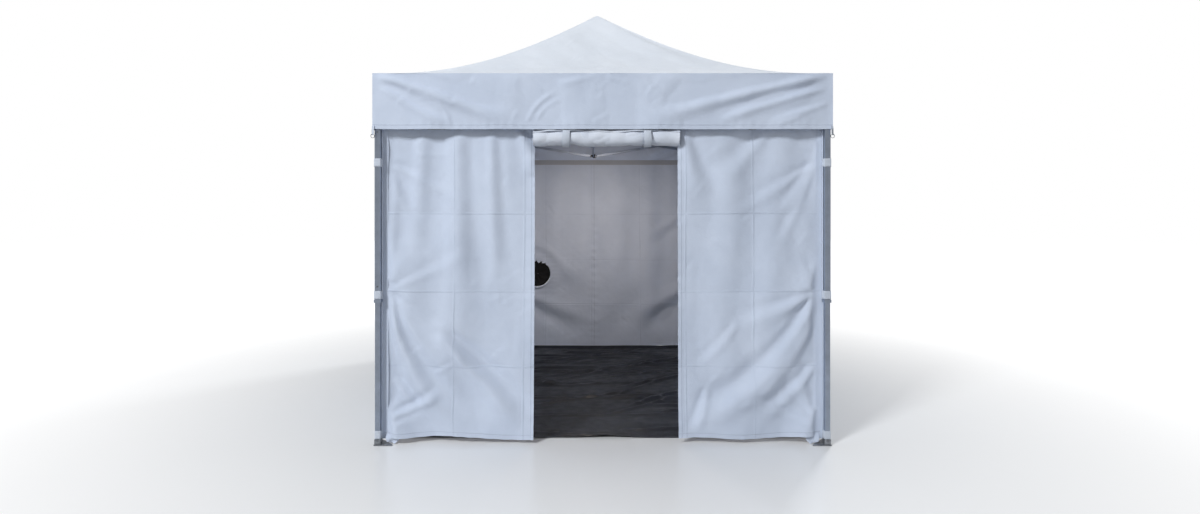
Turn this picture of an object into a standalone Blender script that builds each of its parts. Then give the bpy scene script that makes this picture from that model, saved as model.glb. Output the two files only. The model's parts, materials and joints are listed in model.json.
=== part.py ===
"""Folding frame tent, 3 m square: scissor frame, peaked roof and four side walls.

The door wall faces -Y, the window wall -X, the wall with the duct sleeve +Y and the plain wall +X.
Metres, +Z up. The origin is on the floor at the tent's centre. Every moving piece is parented to an
empty on its joint: a hinge turns about the empty's local X, a slide runs along its local Z.
"""

import math

import bmesh
import bpy
from mathutils import Matrix, Vector

OBJECT_NAME = "folding_frame_tent"

# Frame
LEG_AXIS = 1.480  # centre line of a leg, from the tent's centre along X and Y
LEG_SIDE = 0.040
LEG_WALL = 0.002
LEG_CORNER = 0.004
GROOVE_DEPTH = 0.0012
GROOVE_HALF = 0.005  # half its width at the face, and at its floor
GROOVE_FLOOR_HALF = 0.004
LEG_END = 0.940  # lower end of the upper leg
LEG_TOP = 2.440
BRACKET_SIDE = 0.0406
BRACKET_HEIGHT = 0.075
COLLAR_SIDE = 0.046
COLLAR_HEIGHT = 0.019
COLLAR_DROP = 0.0004  # below the end of the upper leg
COLLAR_BORE = 0.0354
LOWER_SIDE = 0.034
LOWER_WALL = 0.002
LOWER_BOTTOM = 0.0066
LOWER_TOP = 1.100
SLIDER_BORE = 0.0412
SLIDER_SIDE = 0.051
SLIDER_HALF_HEIGHT = 0.022

# Scissor bars and the pins they turn on
PIVOT_TOP = 2.420
RISE = 0.235  # from the lower pivots to the upper ones
LUG_START = 0.004
LEG_LUG = 0.045  # from a leg's centre line to its pivot
MID_LUG = 0.030
HUB_LUG = 0.045
BAR_WIDTH = 0.026
BAR_THICK = 0.012
PLANE_GAP = 0.001  # from the truss's middle plane to each bar
PIN_RADIUS = 0.004
PIN_INSIDE = 0.003  # length of a pin inside its own bar
HOLE_RADIUS = 0.0046
HEAD_RADIUS = 0.007
HEAD_THICK = 0.002
HALF_SPAN = LEG_AXIS - LEG_LUG - MID_LUG
BAR_LENGTH = math.hypot(HALF_SPAN, RISE)
BAR_ANGLE = math.atan2(RISE, HALF_SPAN)
PIVOT_LOW = PIVOT_TOP - RISE

# Connectors
MID_SIDE = 0.028
MID_HALF_HEIGHT = 0.021
HUB_RADIUS = 0.027
HUB_HALF_HEIGHT = 0.022
POLE_RADIUS = 0.015
POLE_BORE = 0.0165
POLE_BOTTOM = 2.192
CUP_FLOOR = 2.188
CAP_RADIUS = 0.045
CAP_BOTTOM = 3.255
CAP_TOP = 3.296
CAP_RIM = 0.008
SLIDER_TRIM = 0.001  # how far a slider's lug stays out of its bore

# Feet
FOOT_REACH = 0.026  # from the leg's centre line to the plate's outer edges
FOOT_ARM = 0.125
FOOT_THICK = 0.006
FOOT_CORNER = 0.008
FOOT_HOLE = 0.005
FOOT_HOLE_INSET = 0.014
FOOT_HOLE_ALONG = 0.063
SOCKET_SIDE = 0.041
SOCKET_BORE = 0.0348
SOCKET_TOP = 0.040

# Fabric
CLOTH = 0.002
EAVE = 1.5100  # outer face of the valance
EAVE_HEIGHT = 2.4475
PEAK_HEIGHT = 3.318
ROOF_SAG = 0.125  # at the hips, half way down
ROOF_SKEW = 0.55  # how much more it sags towards the eave
ROOF_BELLY = 0.14  # further sag, as a share, along each panel's middle
ROOF_CLOTH = 0.0015
ROOF_ROWS = 10
ROOF_COLUMNS = 8
ROOF_TIP = 0.010
ROOF_HIP_GAP = 0.0015
VALANCE_BOTTOM = 2.080
VALANCE_TOP = 2.445
WALL_PLANE = 1.455
WALL_HALF = 1.4535
WALL_BOTTOM = 0.020
WALL_TOP = 2.140
DOOR_LEFT = -0.450
DOOR_RIGHT = 0.500
DOOR_TOP = 2.0945
ROLL_RADIUS = 0.0625
ROLL_HEIGHT = 2.030
ROLL_PLANE = 1.465
WINDOW_WIDTH = 0.645
WINDOW_BOTTOM = 1.130
WINDOW_TOP = 1.665
WINDOW_GAP = 0.0005
PANE_THICK = 0.001
FLAP_HALF_WIDTH = 0.330
FLAP_HEIGHT = 1.735
FLAP_HALF_HEIGHT = 0.064
FLAP_HALF_DEPTH = 0.026
DUCT_ALONG = 0.645
DUCT_HEIGHT = 0.850
DUCT_HOLE = 0.150
DUCT_RADIUS = 0.159
DUCT_FLANGE = 0.180
DUCT_MOUTH = 0.128
DUCT_LENGTH = 0.260
DUCT_DROOP = 0.060
SHEET_HALF = 1.425
SHEET_FRONT = -1.360
SMALL_GAP = 0.0005

SIDES = {"front": 0, "right": 90, "back": 180, "left": 270}  # turn of each side about Z
CORNERS = {"front_left": 0, "front_right": 90, "back_right": 180, "back_left": 270}


def clear_scene():
    for obj in list(bpy.data.objects):
        bpy.data.objects.remove(obj, do_unlink=True)


def collection(name):
    made = bpy.data.collections.new(name)
    bpy.context.scene.collection.children.link(made)
    return made


# Materials


def material(name, colour, roughness, metallic=0.0, alpha=1.0):
    made = bpy.data.materials.new(name)
    made.use_nodes = True
    shader = made.node_tree.nodes["Principled BSDF"]
    shader.inputs["Base Color"].default_value = (*colour, 1)
    shader.inputs["Roughness"].default_value = roughness
    shader.inputs["Metallic"].default_value = metallic
    shader.inputs["Alpha"].default_value = alpha
    return made


def aluminium(name):
    return material(name, (0.42, 0.45, 0.50), 0.38, metallic=0.9)


def black_plastic(name):
    return material(name, (0.018, 0.019, 0.022), 0.55)


def white_cloth(name):
    return material(name, (0.72, 0.77, 0.84), 0.72)


def charcoal_cloth(name):
    return material(name, (0.030, 0.033, 0.040), 0.80)


def window_film(name):
    return material(name, (0.34, 0.33, 0.25), 0.22, alpha=0.55)


# Shapes


def turn_z(degrees):
    return Matrix.Rotation(math.radians(degrees), 4, "Z")


UPRIGHT = Matrix.Rotation(math.radians(90), 4, "X")  # a flat outline stood up: its Y becomes +Z


def shape(bm):
    mesh = bpy.data.meshes.new("shape")
    bm.to_mesh(mesh)
    bm.free()
    obj = bpy.data.objects.new("shape", mesh)
    bpy.context.scene.collection.objects.link(obj)
    return obj


def block(low, high):
    low, high = Vector(low), Vector(high)
    bm = bmesh.new()
    size = Matrix.Diagonal((*(high - low), 1))
    bmesh.ops.create_cube(bm, size=1, matrix=Matrix.Translation((low + high) / 2) @ size)
    return shape(bm)


def rod(start, end, radius, sides=10):
    start, end = Vector(start), Vector(end)
    along = (end - start).to_track_quat("Z", "Y").to_matrix().to_4x4()
    bm = bmesh.new()
    bmesh.ops.create_cone(
        bm,
        cap_ends=True,
        segments=sides,
        radius1=radius,
        radius2=radius,
        depth=(end - start).length,
        matrix=Matrix.Translation((start + end) / 2) @ along,
    )
    return shape(bm)


def arc(centre, radius, start, end, steps):
    angles = [math.radians(start + (end - start) * i / steps) for i in range(steps + 1)]
    return [(centre[0] + radius * math.cos(a), centre[1] + radius * math.sin(a)) for a in angles]


def circle(centre, radius, sides=10):
    return arc(centre, radius, 0, 360 * (sides - 1) / sides, sides - 1)


def rectangle(left, bottom, right, top):
    return [(left, bottom), (right, bottom), (right, top), (left, top)]


def square(side):
    return rectangle(-side / 2, -side / 2, side / 2, side / 2)


def slab(outlines, low, high, placed=Matrix.Identity(4)):
    """The first outline filled, with the others as holes, between two heights."""
    curve = bpy.data.curves.new("outline", "CURVE")
    curve.dimensions = "2D"
    curve.fill_mode = "BOTH"
    curve.extrude = (high - low) / 2
    for points in outlines:
        spline = curve.splines.new("POLY")
        spline.points.add(len(points) - 1)
        for point, (x, y) in zip(spline.points, points):
            point.co = (x, y, 0, 1)
        spline.use_cyclic_u = True
    flat = bpy.data.objects.new("outline", curve)
    bpy.context.scene.collection.objects.link(flat)
    mesh = bpy.data.meshes.new_from_object(flat.evaluated_get(bpy.context.evaluated_depsgraph_get()))
    bpy.data.objects.remove(flat)
    bm = bmesh.new()
    bm.from_mesh(mesh)
    bmesh.ops.remove_doubles(bm, verts=bm.verts, dist=0.00001)
    bmesh.ops.translate(bm, verts=bm.verts, vec=(0, 0, (low + high) / 2))
    bmesh.ops.transform(bm, verts=bm.verts, matrix=placed)
    bmesh.ops.recalc_face_normals(bm, faces=bm.faces)
    return shape(bm)


def settle(obj):
    """The object with its modifiers made part of its mesh."""
    graph = bpy.context.evaluated_depsgraph_get()
    mesh = bpy.data.meshes.new_from_object(obj.evaluated_get(graph))
    obj.modifiers.clear()
    obj.data = mesh
    return obj


def boolean(base, pieces, operation):
    for piece in pieces:
        step = base.modifiers.new("boolean", "BOOLEAN")
        step.operation = operation
        step.solver = "EXACT"
        step.object = piece
    settle(base)
    for piece in pieces:
        bpy.data.objects.remove(piece)
    return base


def union(base, pieces):
    return boolean(base, pieces, "UNION")


def cut(base, pieces):
    return boolean(base, pieces, "DIFFERENCE")


def turned(profile, sides=16):
    """A solid of revolution about Z, from (radius, height) points that run down its outside."""
    bm = bmesh.new()
    points = [bm.verts.new((radius, 0, height)) for radius, height in profile]
    for a, b in zip(points, points[1:]):
        bm.edges.new((a, b))
    obj = shape(bm)
    screw = obj.modifiers.new("turn", "SCREW")
    screw.steps = screw.render_steps = sides
    screw.use_merge_vertices = True
    screw.merge_threshold = 0.00001
    return settle(obj)


# The frame's pieces, each about its own pivot or centre line


def scissor_bar(has_pin):
    """A bar from its upper pivot at the origin along +X. It lies on the +Y side of the truss."""
    end = BAR_WIDTH / 2
    outline = arc((0, 0), end, 90, 270, 6) + arc((BAR_LENGTH, 0), end, -90, 90, 6)
    holes = [circle((0, 0), HOLE_RADIUS), circle((BAR_LENGTH, 0), HOLE_RADIUS)]
    if not has_pin:
        holes.append(circle((BAR_LENGTH / 2, 0), HOLE_RADIUS))
    inner, outer = PLANE_GAP, PLANE_GAP + BAR_THICK
    bar = slab([outline, *holes], -outer, -inner, UPRIGHT)
    if has_pin:
        middle = BAR_LENGTH / 2
        far = -outer - PLANE_GAP / 2
        pin = rod((middle, inner + PIN_INSIDE, 0), (middle, far - HEAD_THICK / 2, 0), PIN_RADIUS)
        head = rod((middle, far, 0), (middle, far - HEAD_THICK, 0), HEAD_RADIUS)
        union(bar, [pin, head])
    return bar


def lug(degrees, reach, upper):
    """The plate, pin and pin head that hold one bar, `reach` from the connector's centre line."""
    side = 1 if upper else -1  # the bar's side of the truss
    end = BAR_WIDTH / 2
    outline = [(LUG_START, end), (LUG_START, -end)] + arc((reach, 0), end, -90, 90, 6)
    inner, outer = PLANE_GAP, PLANE_GAP + BAR_THICK
    plate_span = (inner, outer) if upper else (-outer, -inner)
    plate = slab([outline], *plate_span, UPRIGHT)
    head_start = side * (outer + PLANE_GAP / 2)
    pin = rod((reach, -side * LUG_START, 0), (reach, head_start + side * HEAD_THICK / 2, 0), PIN_RADIUS)
    head = rod((reach, head_start, 0), (reach, head_start + side * HEAD_THICK, 0), HEAD_RADIUS)
    for piece in (plate, pin, head):
        piece.data.transform(turn_z(degrees))
    return [plate, pin, head]


def lugs(directions, reach, upper):
    return [piece for degrees in directions for piece in lug(degrees, reach, upper)]


def mid_connector(directions, upper):
    half = MID_SIDE / 2
    height = MID_HALF_HEIGHT
    body = block((-half, -half, -height), (half, half, height))
    return union(body, lugs(directions, MID_LUG, upper))


def top_hub():
    body = rod((0, 0, -HUB_HALF_HEIGHT), (0, 0, HUB_HALF_HEIGHT), HUB_RADIUS, 16)
    union(body, lugs((90, 270), HUB_LUG, True))
    return cut(body, [rod((0, 0, -0.05), (0, 0, 0.05), POLE_BORE, 16)])


def bottom_hub():
    """A hub with a cup that the peak pole stands in."""
    body = rod((0, 0, -HUB_HALF_HEIGHT), (0, 0, HUB_HALF_HEIGHT), HUB_RADIUS, 16)
    union(body, lugs((90, 270), HUB_LUG, False))
    return cut(body, [rod((0, 0, CUP_FLOOR - PIVOT_LOW), (0, 0, 0.05), POLE_BORE, 16)])


def peak_pole():
    """The pole with the domed cap that holds up the roof."""
    rim = CAP_BOTTOM + CAP_RIM
    dome = [(x * CAP_RADIUS, rim + z * (CAP_TOP - rim)) for x, z in arc((0, 0), 1, 90, 0, 4)]
    dome[0] = (0, CAP_TOP)
    return turned(dome + [(CAP_RADIUS, CAP_BOTTOM), (POLE_RADIUS, CAP_BOTTOM),
                          (POLE_RADIUS, POLE_BOTTOM), (0, POLE_BOTTOM)])


def leg_outline():
    """A square with rounded corners and a shallow groove along the middle of each face."""
    half = LEG_SIDE / 2
    near = half - LEG_CORNER
    points = []
    for quarter in range(4):
        turn = turn_z(90 * quarter)
        floor = half - GROOVE_DEPTH
        groove = [(floor, -GROOVE_FLOOR_HALF), (floor, GROOVE_FLOOR_HALF)]
        face = [(half, -GROOVE_HALF), *groove, (half, GROOVE_HALF)]
        corner = arc((near, near), LEG_CORNER, 0, 90, 2)
        points += [(turn @ Vector((x, y, 0))).xy for x, y in face + corner]
    return [tuple(point) for point in points]


def upper_leg():
    """A tube about the leg's centre line, with its corner bracket on top and a collar at its end."""
    bore = square(LEG_SIDE - 2 * LEG_WALL)
    tube = slab([leg_outline(), bore], LEG_END, LEG_TOP - BRACKET_HEIGHT / 2)
    half = BRACKET_SIDE / 2
    bracket = block((-half, -half, LEG_TOP - BRACKET_HEIGHT), (half, half, LEG_TOP))
    collar_span = (LEG_END - COLLAR_DROP, LEG_END + COLLAR_HEIGHT)
    collar = slab([square(COLLAR_SIDE), square(COLLAR_BORE)], *collar_span)
    holders = lugs((0, 90), LEG_LUG, True)
    for piece in holders:
        piece.data.transform(Matrix.Translation((0, 0, PIVOT_TOP)))
    return union(tube, [bracket, collar, *holders])


def leg_slider():
    half = SLIDER_HALF_HEIGHT
    sleeve = slab([square(SLIDER_SIDE), square(SLIDER_BORE)], -half, half)
    holders = []
    for degrees in (0, 90):
        plate, pin, head = lug(degrees, LEG_LUG, False)
        keep = SLIDER_BORE / 2 + SLIDER_TRIM
        trim = block((-keep, -keep, -0.05), (keep, keep, 0.05))
        holders += [cut(plate, [trim]), pin, head]
    return union(sleeve, holders)


def lower_leg():
    return slab([square(LOWER_SIDE), square(LOWER_SIDE - 2 * LOWER_WALL)], LOWER_BOTTOM, LOWER_TOP)


def foot():
    """A triangular plate with its right angle outwards, a bolt hole in each arm and a socket."""
    corner = -FOOT_REACH + FOOT_CORNER
    tip = -FOOT_REACH + FOOT_ARM - FOOT_CORNER
    outline = (
        arc((corner, corner), FOOT_CORNER, 180, 270, 4)
        + arc((tip, corner), FOOT_CORNER, 270, 405, 5)
        + arc((corner, tip), FOOT_CORNER, 45, 180, 5)
    )
    along = -FOOT_REACH + FOOT_HOLE_ALONG
    inset = -FOOT_REACH + FOOT_HOLE_INSET
    holes = [circle((along, inset), FOOT_HOLE), circle((inset, along), FOOT_HOLE)]
    plate = slab([outline, *holes], 0, FOOT_THICK)
    return union(plate, [slab([square(SOCKET_SIDE), square(SOCKET_BORE)], FOOT_THICK / 2, SOCKET_TOP)])


# The fabric pieces, each modelled as the front side and turned to its own side


def wall_slab(outlines, plane=WALL_PLANE, thick=CLOTH):
    return slab(outlines, plane - thick / 2, plane + thick / 2, UPRIGHT)


def plain_wall(holes=()):
    return wall_slab([rectangle(-WALL_HALF, WALL_BOTTOM, WALL_HALF, WALL_TOP), *holes])


def door_wall():
    outline = [
        (-WALL_HALF, WALL_BOTTOM), (DOOR_LEFT, WALL_BOTTOM), (DOOR_LEFT, DOOR_TOP),
        (DOOR_RIGHT, DOOR_TOP), (DOOR_RIGHT, WALL_BOTTOM), (WALL_HALF, WALL_BOTTOM),
        (WALL_HALF, WALL_TOP), (-WALL_HALF, WALL_TOP),
    ]
    return wall_slab([outline])


def window_wall():
    """The wall with its window opening, and the window's cover rolled up above it."""
    half = WINDOW_WIDTH / 2
    wall = plain_wall([rectangle(-half, WINDOW_BOTTOM, half, WINDOW_TOP)])
    depth = WALL_PLANE + FLAP_HALF_DEPTH - CLOTH / 2
    cover = rod((-FLAP_HALF_WIDTH, 0, 0), (FLAP_HALF_WIDTH, 0, 0), 1, 16)
    flatten = Matrix.Diagonal((1, FLAP_HALF_DEPTH, FLAP_HALF_HEIGHT, 1))
    cover.data.transform(Matrix.Translation((0, -depth, FLAP_HEIGHT)) @ flatten)
    return union(wall, [cover])


def window_pane():
    half = WINDOW_WIDTH / 2 - WINDOW_GAP
    low, high = WINDOW_BOTTOM + WINDOW_GAP, WINDOW_TOP - WINDOW_GAP
    return wall_slab([rectangle(-half, low, half, high)], thick=PANE_THICK)


def duct_wall():
    return plain_wall([circle((DUCT_ALONG, DUCT_HEIGHT), DUCT_HOLE, 16)])


def door_roll():
    low, high = DOOR_LEFT + SMALL_GAP, DOOR_RIGHT - SMALL_GAP
    return rod((low, -ROLL_PLANE, ROLL_HEIGHT), (high, -ROLL_PLANE, ROLL_HEIGHT), ROLL_RADIUS, 16)


def duct_sleeve():
    """A fabric tube that narrows and droops from its flange on the wall to its open mouth."""
    start = WALL_PLANE + CLOTH / 2 + CLOTH
    rings = [(0, DUCT_FLANGE), (0, DUCT_RADIUS)]
    rings += [(t, DUCT_RADIUS + (DUCT_MOUTH - DUCT_RADIUS) * t) for t in (0.25, 0.5, 0.75, 1)]
    sides = 16
    bm = bmesh.new()
    rows = []
    for t, radius in rings:
        height = DUCT_HEIGHT - DUCT_DROOP * t * t
        points = circle((DUCT_ALONG, height), radius, sides)
        rows.append([bm.verts.new((x, -start - DUCT_LENGTH * t, z)) for x, z in points])
    for near, far in zip(rows, rows[1:]):
        for i in range(sides):
            j = (i + 1) % sides
            bm.faces.new((near[i], near[j], far[j], far[i]))
    bmesh.ops.recalc_face_normals(bm, faces=bm.faces)
    tube = shape(bm)
    shell = tube.modifiers.new("cloth", "SOLIDIFY")
    shell.thickness = CLOTH
    shell.offset = 0
    return settle(tube)


def roof_height(share, across):
    """Height of the roof at a share of the way from peak to eave, 0 to 1, and across it, -1 to 1."""
    straight = EAVE_HEIGHT + (PEAK_HEIGHT - EAVE_HEIGHT) * (1 - share)
    hang = 4 * share * (1 - share) * (1 + ROOF_SKEW * (share - 0.5))
    return straight - ROOF_SAG * hang * (1 + ROOF_BELLY * (1 - across * across))


def roof_panel():
    bm = bmesh.new()
    grid = []
    for i in range(ROOF_ROWS + 1):
        reach = ROOF_TIP + (EAVE - ROOF_TIP) * i / ROOF_ROWS
        share = reach / EAVE
        half = reach - ROOF_HIP_GAP
        across = [2 * j / ROOF_COLUMNS - 1 for j in range(ROOF_COLUMNS + 1)]
        grid.append([bm.verts.new((half * a, -reach, roof_height(share, a))) for a in across])
    for near, far in zip(grid, grid[1:]):
        for j in range(ROOF_COLUMNS):
            bm.faces.new((near[j], far[j], far[j + 1], near[j + 1]))
    bmesh.ops.recalc_face_normals(bm, faces=bm.faces)
    panel = shape(bm)
    shell = panel.modifiers.new("cloth", "SOLIDIFY")
    shell.thickness = ROOF_CLOTH
    shell.offset = 0
    return settle(panel)


def valance():
    return slab([square(2 * EAVE), square(2 * (EAVE - CLOTH))], VALANCE_BOTTOM, VALANCE_TOP)


def groundsheet():
    return slab([rectangle(-SHEET_HALF, SHEET_FRONT, SHEET_HALF, SHEET_HALF)], 0, CLOTH)


# Assembly


class Tent:
    def __init__(self):
        self.parts = collection(OBJECT_NAME)
        self.joints = collection("joints")
        self.bodies = {}

    def body(self, name, position, parent=None, turn=0.0):
        """The empty that a body moves on. Its local X, turned about Z, is a hinge's axis."""
        empty = bpy.data.objects.new(f"joint_{name}", None)
        empty.empty_display_size = 0.05
        self.joints.objects.link(empty)
        empty.matrix_world = Matrix.Translation(position) @ turn_z(turn)
        if parent:
            holder = self.bodies[parent]
            empty.parent = holder
            empty.matrix_parent_inverse = holder.matrix_world.inverted()
        bpy.context.view_layer.update()
        self.bodies[name] = empty

    def add(self, name, mesh, body, finish, placed=Matrix.Identity(4)):
        obj = bpy.data.objects.new(name, mesh)
        self.parts.objects.link(obj)
        holder = self.bodies[body]
        obj.parent = holder
        obj.matrix_parent_inverse = holder.matrix_world.inverted()
        obj.matrix_world = placed
        obj.data = mesh if not mesh.materials else mesh.copy()
        obj.data.materials.clear()
        obj.data.materials.append(finish(f"{name}_finish"))
        obj.data.shade_smooth()
        obj.data.set_sharp_from_angle(angle=math.radians(30))
        return obj

    def scissor(self, name, start, degrees, parent, bars):
        """Two crossed bars from `start` towards `degrees`. Returns where their far pivots are."""
        along = turn_z(degrees) @ Vector((1, 0, 0))
        near = Vector((*start, PIVOT_TOP))
        far = near + along * HALF_SPAN
        cross = (near + far) / 2 - Vector((0, 0, RISE / 2))
        tilt = Matrix.Rotation(BAR_ANGLE, 4, "Y")
        self.body(f"{name}_bar_a", near, parent, degrees + 90)
        self.body(f"{name}_bar_b", cross, f"{name}_bar_a", degrees + 90)
        first = Matrix.Translation(near) @ turn_z(degrees) @ tilt
        second = Matrix.Translation(far) @ turn_z(degrees + 180) @ tilt
        self.add(f"{name}_bar_a", bars[0], f"{name}_bar_a", aluminium, first)
        self.add(f"{name}_bar_b", bars[1], f"{name}_bar_b", aluminium, second)
        return far

    def connector(self, side, meshes, near, scissor, joint_turn):
        """A side's upper and lower middle connectors, on the far end of the scissor that moves them."""
        degrees = SIDES[side]
        centre = turn_z(degrees) @ Vector((0, -LEG_AXIS, 0))
        for level, height, bar in (("top", PIVOT_TOP, "b"), ("bottom", PIVOT_LOW, "a")):
            name = f"{side}_mid_{level}"
            pivot = Vector((near.x, near.y, height))
            self.body(name, pivot, f"{scissor}_bar_{bar}", joint_turn)
            placed = Matrix.Translation((centre.x, centre.y, height)) @ turn_z(degrees)
            self.add(name, meshes[level], name, black_plastic, placed)


def mesh_of(obj):
    """The mesh of a shape, whose own object is no longer needed."""
    mesh = obj.data
    bpy.data.objects.remove(obj)
    return mesh


def add_hub(tent):
    tent.body("hub", (0, 0, 0))
    tent.add("top_hub", mesh_of(top_hub()), "hub", black_plastic, Matrix.Translation((0, 0, PIVOT_TOP)))
    tent.add("groundsheet", mesh_of(groundsheet()), "hub", charcoal_cloth)
    tent.add("valance", mesh_of(valance()), "hub", white_cloth)
    tent.body("peak_pole", (0, 0, PIVOT_TOP), "hub")
    tent.add("peak_pole", mesh_of(peak_pole()), "peak_pole", aluminium)


def add_inner_trusses(tent, bars):
    ends = {level: mesh_of(mid_connector((0, 90, 180), level == "top")) for level in ("top", "bottom")}
    for side, degrees in (("front", 270), ("back", 90)):
        away = turn_z(degrees) @ Vector((HUB_LUG, 0, 0))
        far = tent.scissor(f"{side}_inner", away.xy, degrees, "hub", bars)
        tent.connector(side, ends, far, f"{side}_inner", degrees + 90)
    tent.body("bottom_hub", (0, -HUB_LUG, PIVOT_LOW), "front_inner_bar_b", 0)
    placed = Matrix.Translation((0, 0, PIVOT_LOW))
    tent.add("bottom_hub", mesh_of(bottom_hub()), "bottom_hub", black_plastic, placed)


def add_corners(tent, bars):
    """The front and back trusses out to the legs, and what stands on each leg."""
    leg, slider, tube, plate = (mesh_of(make()) for make in (upper_leg, leg_slider, lower_leg, foot))
    for corner, turn in CORNERS.items():
        side, hand = corner.split("_")
        out = 1 if hand == "right" else -1
        line = -LEG_AXIS if side == "front" else LEG_AXIS
        degrees = 0 if out > 0 else 180
        far = tent.scissor(corner, (out * MID_LUG, line), degrees, f"{side}_mid_top", bars)
        centre = Matrix.Translation((out * LEG_AXIS, line, 0)) @ turn_z(turn)
        low = Vector((far.x, far.y, PIVOT_LOW))
        tent.body(f"upper_leg_{corner}", far, f"{corner}_bar_b", degrees + 90)
        tent.add(f"upper_leg_{corner}", leg, f"upper_leg_{corner}", aluminium, centre)
        tent.body(f"leg_slider_{corner}", low, f"{corner}_bar_a", degrees + 90)
        placed = centre @ Matrix.Translation((0, 0, PIVOT_LOW))
        tent.add(f"leg_slider_{corner}", slider, f"leg_slider_{corner}", black_plastic, placed)
        bottom = (out * LEG_AXIS, line, LEG_END)
        tent.body(f"lower_leg_{corner}", bottom, f"upper_leg_{corner}")
        tent.add(f"lower_leg_{corner}", tube, f"lower_leg_{corner}", aluminium, centre)
        tent.add(f"foot_{corner}", plate, f"lower_leg_{corner}", aluminium, centre)


def add_side_trusses(tent, bars):
    ends = {level: mesh_of(mid_connector((0, 180), level == "top")) for level in ("top", "bottom")}
    for side, out in (("left", -1), ("right", 1)):
        for end, line, degrees in (("front", -1, 90), ("back", 1, 270)):
            start = (out * LEG_AXIS, line * (LEG_AXIS - LEG_LUG))
            far = tent.scissor(f"{side}_{end}", start, degrees, f"upper_leg_{end}_{side}", bars)
            if end == "front":
                tent.connector(side, ends, far, f"{side}_{end}", degrees + 90)


def add_cloth(tent):
    walls = {"front": door_wall, "right": plain_wall, "back": duct_wall, "left": window_wall}
    panel = mesh_of(roof_panel())
    for side, degrees in SIDES.items():
        turn = turn_z(degrees)
        tent.add(f"{side}_wall", mesh_of(walls[side]()), f"{side}_mid_top", white_cloth, turn)
        eave = turn @ Vector((0, -EAVE, EAVE_HEIGHT))
        tent.body(f"roof_{side}", eave, f"{side}_mid_top", degrees + 180)
        tent.add(f"roof_{side}", panel, f"roof_{side}", white_cloth, turn)
    tent.add("door_roll", mesh_of(door_roll()), "front_mid_top", white_cloth)
    tent.add("window_pane", mesh_of(window_pane()), "left_mid_top", window_film, turn_z(SIDES["left"]))
    tent.add("duct_sleeve", mesh_of(duct_sleeve()), "back_mid_top", white_cloth, turn_z(SIDES["back"]))


def main():
    clear_scene()
    tent = Tent()
    bars = [mesh_of(scissor_bar(has_pin)) for has_pin in (True, False)]
    add_hub(tent)
    add_inner_trusses(tent, bars)
    add_corners(tent, bars)
    add_side_trusses(tent, bars)
    add_cloth(tent)


main()
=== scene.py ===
"""Looks of the folding frame tent: cloth walls, roof, valance, rolls, window, duct sleeve and frame finishes.

Fabric pieces are made as the front side, whose outside faces -Y, and turned to their own side.
"""

import json
import math

import bmesh
import bpy
import numpy as np
from mathutils import Matrix, Vector


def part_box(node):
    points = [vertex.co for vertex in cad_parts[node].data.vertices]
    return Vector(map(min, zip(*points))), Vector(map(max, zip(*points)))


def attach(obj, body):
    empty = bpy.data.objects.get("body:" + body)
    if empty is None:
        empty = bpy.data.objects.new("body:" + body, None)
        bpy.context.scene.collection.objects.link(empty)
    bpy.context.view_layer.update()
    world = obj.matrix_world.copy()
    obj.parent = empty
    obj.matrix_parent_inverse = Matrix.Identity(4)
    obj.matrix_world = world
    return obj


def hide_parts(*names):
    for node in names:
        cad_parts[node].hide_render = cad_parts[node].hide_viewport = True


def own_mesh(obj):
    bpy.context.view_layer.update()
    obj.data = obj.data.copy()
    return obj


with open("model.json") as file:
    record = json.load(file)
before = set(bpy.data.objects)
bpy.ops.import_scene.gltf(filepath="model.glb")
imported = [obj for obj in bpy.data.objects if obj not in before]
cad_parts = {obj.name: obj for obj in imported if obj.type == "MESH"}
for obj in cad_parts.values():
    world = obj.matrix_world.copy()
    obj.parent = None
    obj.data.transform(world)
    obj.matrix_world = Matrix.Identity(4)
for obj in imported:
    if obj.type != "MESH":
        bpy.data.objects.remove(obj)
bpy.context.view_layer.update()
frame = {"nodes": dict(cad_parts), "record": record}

SIDES = {"front": 0, "right": 90, "back": 180, "left": 270}
CORNERS = {"front_left": (-1, -1), "front_right": (1, -1), "back_right": (1, 1), "back_left": (-1, 1)}

# Sizes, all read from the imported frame
WALL_LOW, WALL_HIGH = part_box("right_wall")
WALL_PLANE = (WALL_LOW.x + WALL_HIGH.x) / 2
WALL_HALF = WALL_HIGH.y
WALL_BOTTOM, WALL_TOP = WALL_LOW.z, WALL_HIGH.z
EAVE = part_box("valance")[1].x
VALANCE_BOTTOM, VALANCE_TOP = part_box("valance")[0].z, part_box("valance")[1].z
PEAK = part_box("roof_front")[1].z
EAVE_HEIGHT = VALANCE_TOP + 0.0025
ROOF_SAG, ROOF_SKEW, ROOF_BELLY = 0.125, 0.55, 0.14
LEG_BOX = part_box("lower_leg_front_right")
LEG_AXIS = (LEG_BOX[0].x + LEG_BOX[1].x) / 2
UPPER_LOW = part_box("upper_leg_front_right")[0].z
LOWER_HALF = LEG_BOX[1].x - LEG_AXIS
UPPER_HALF = 0.020
ROLL_LOW, ROLL_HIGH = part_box("door_roll")
ROLL_RADIUS = (ROLL_HIGH.z - ROLL_LOW.z) / 2
ROLL_CENTRE = (ROLL_LOW + ROLL_HIGH) / 2
DOOR = (ROLL_LOW.x, ROLL_HIGH.x, ROLL_HIGH.z + 0.002)  # left, right and top
PANE_LOW, PANE_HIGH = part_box("window_pane")
PANE_HALF = PANE_HIGH.y
DUCT_LOW, DUCT_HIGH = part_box("duct_sleeve")
DUCT_ALONG = -(DUCT_LOW.x + DUCT_HIGH.x) / 2
DUCT_FLANGE = (DUCT_HIGH.x - DUCT_LOW.x) / 2
DUCT_HEIGHT = DUCT_HIGH.z - DUCT_FLANGE
DUCT_HOLE = 0.150
SHEET_LOW, SHEET_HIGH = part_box("groundsheet")


def turn(side):
    """Turns a piece made as the front side to its own side."""
    return Matrix.Rotation(math.radians(SIDES[side]), 4, "Z")


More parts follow.
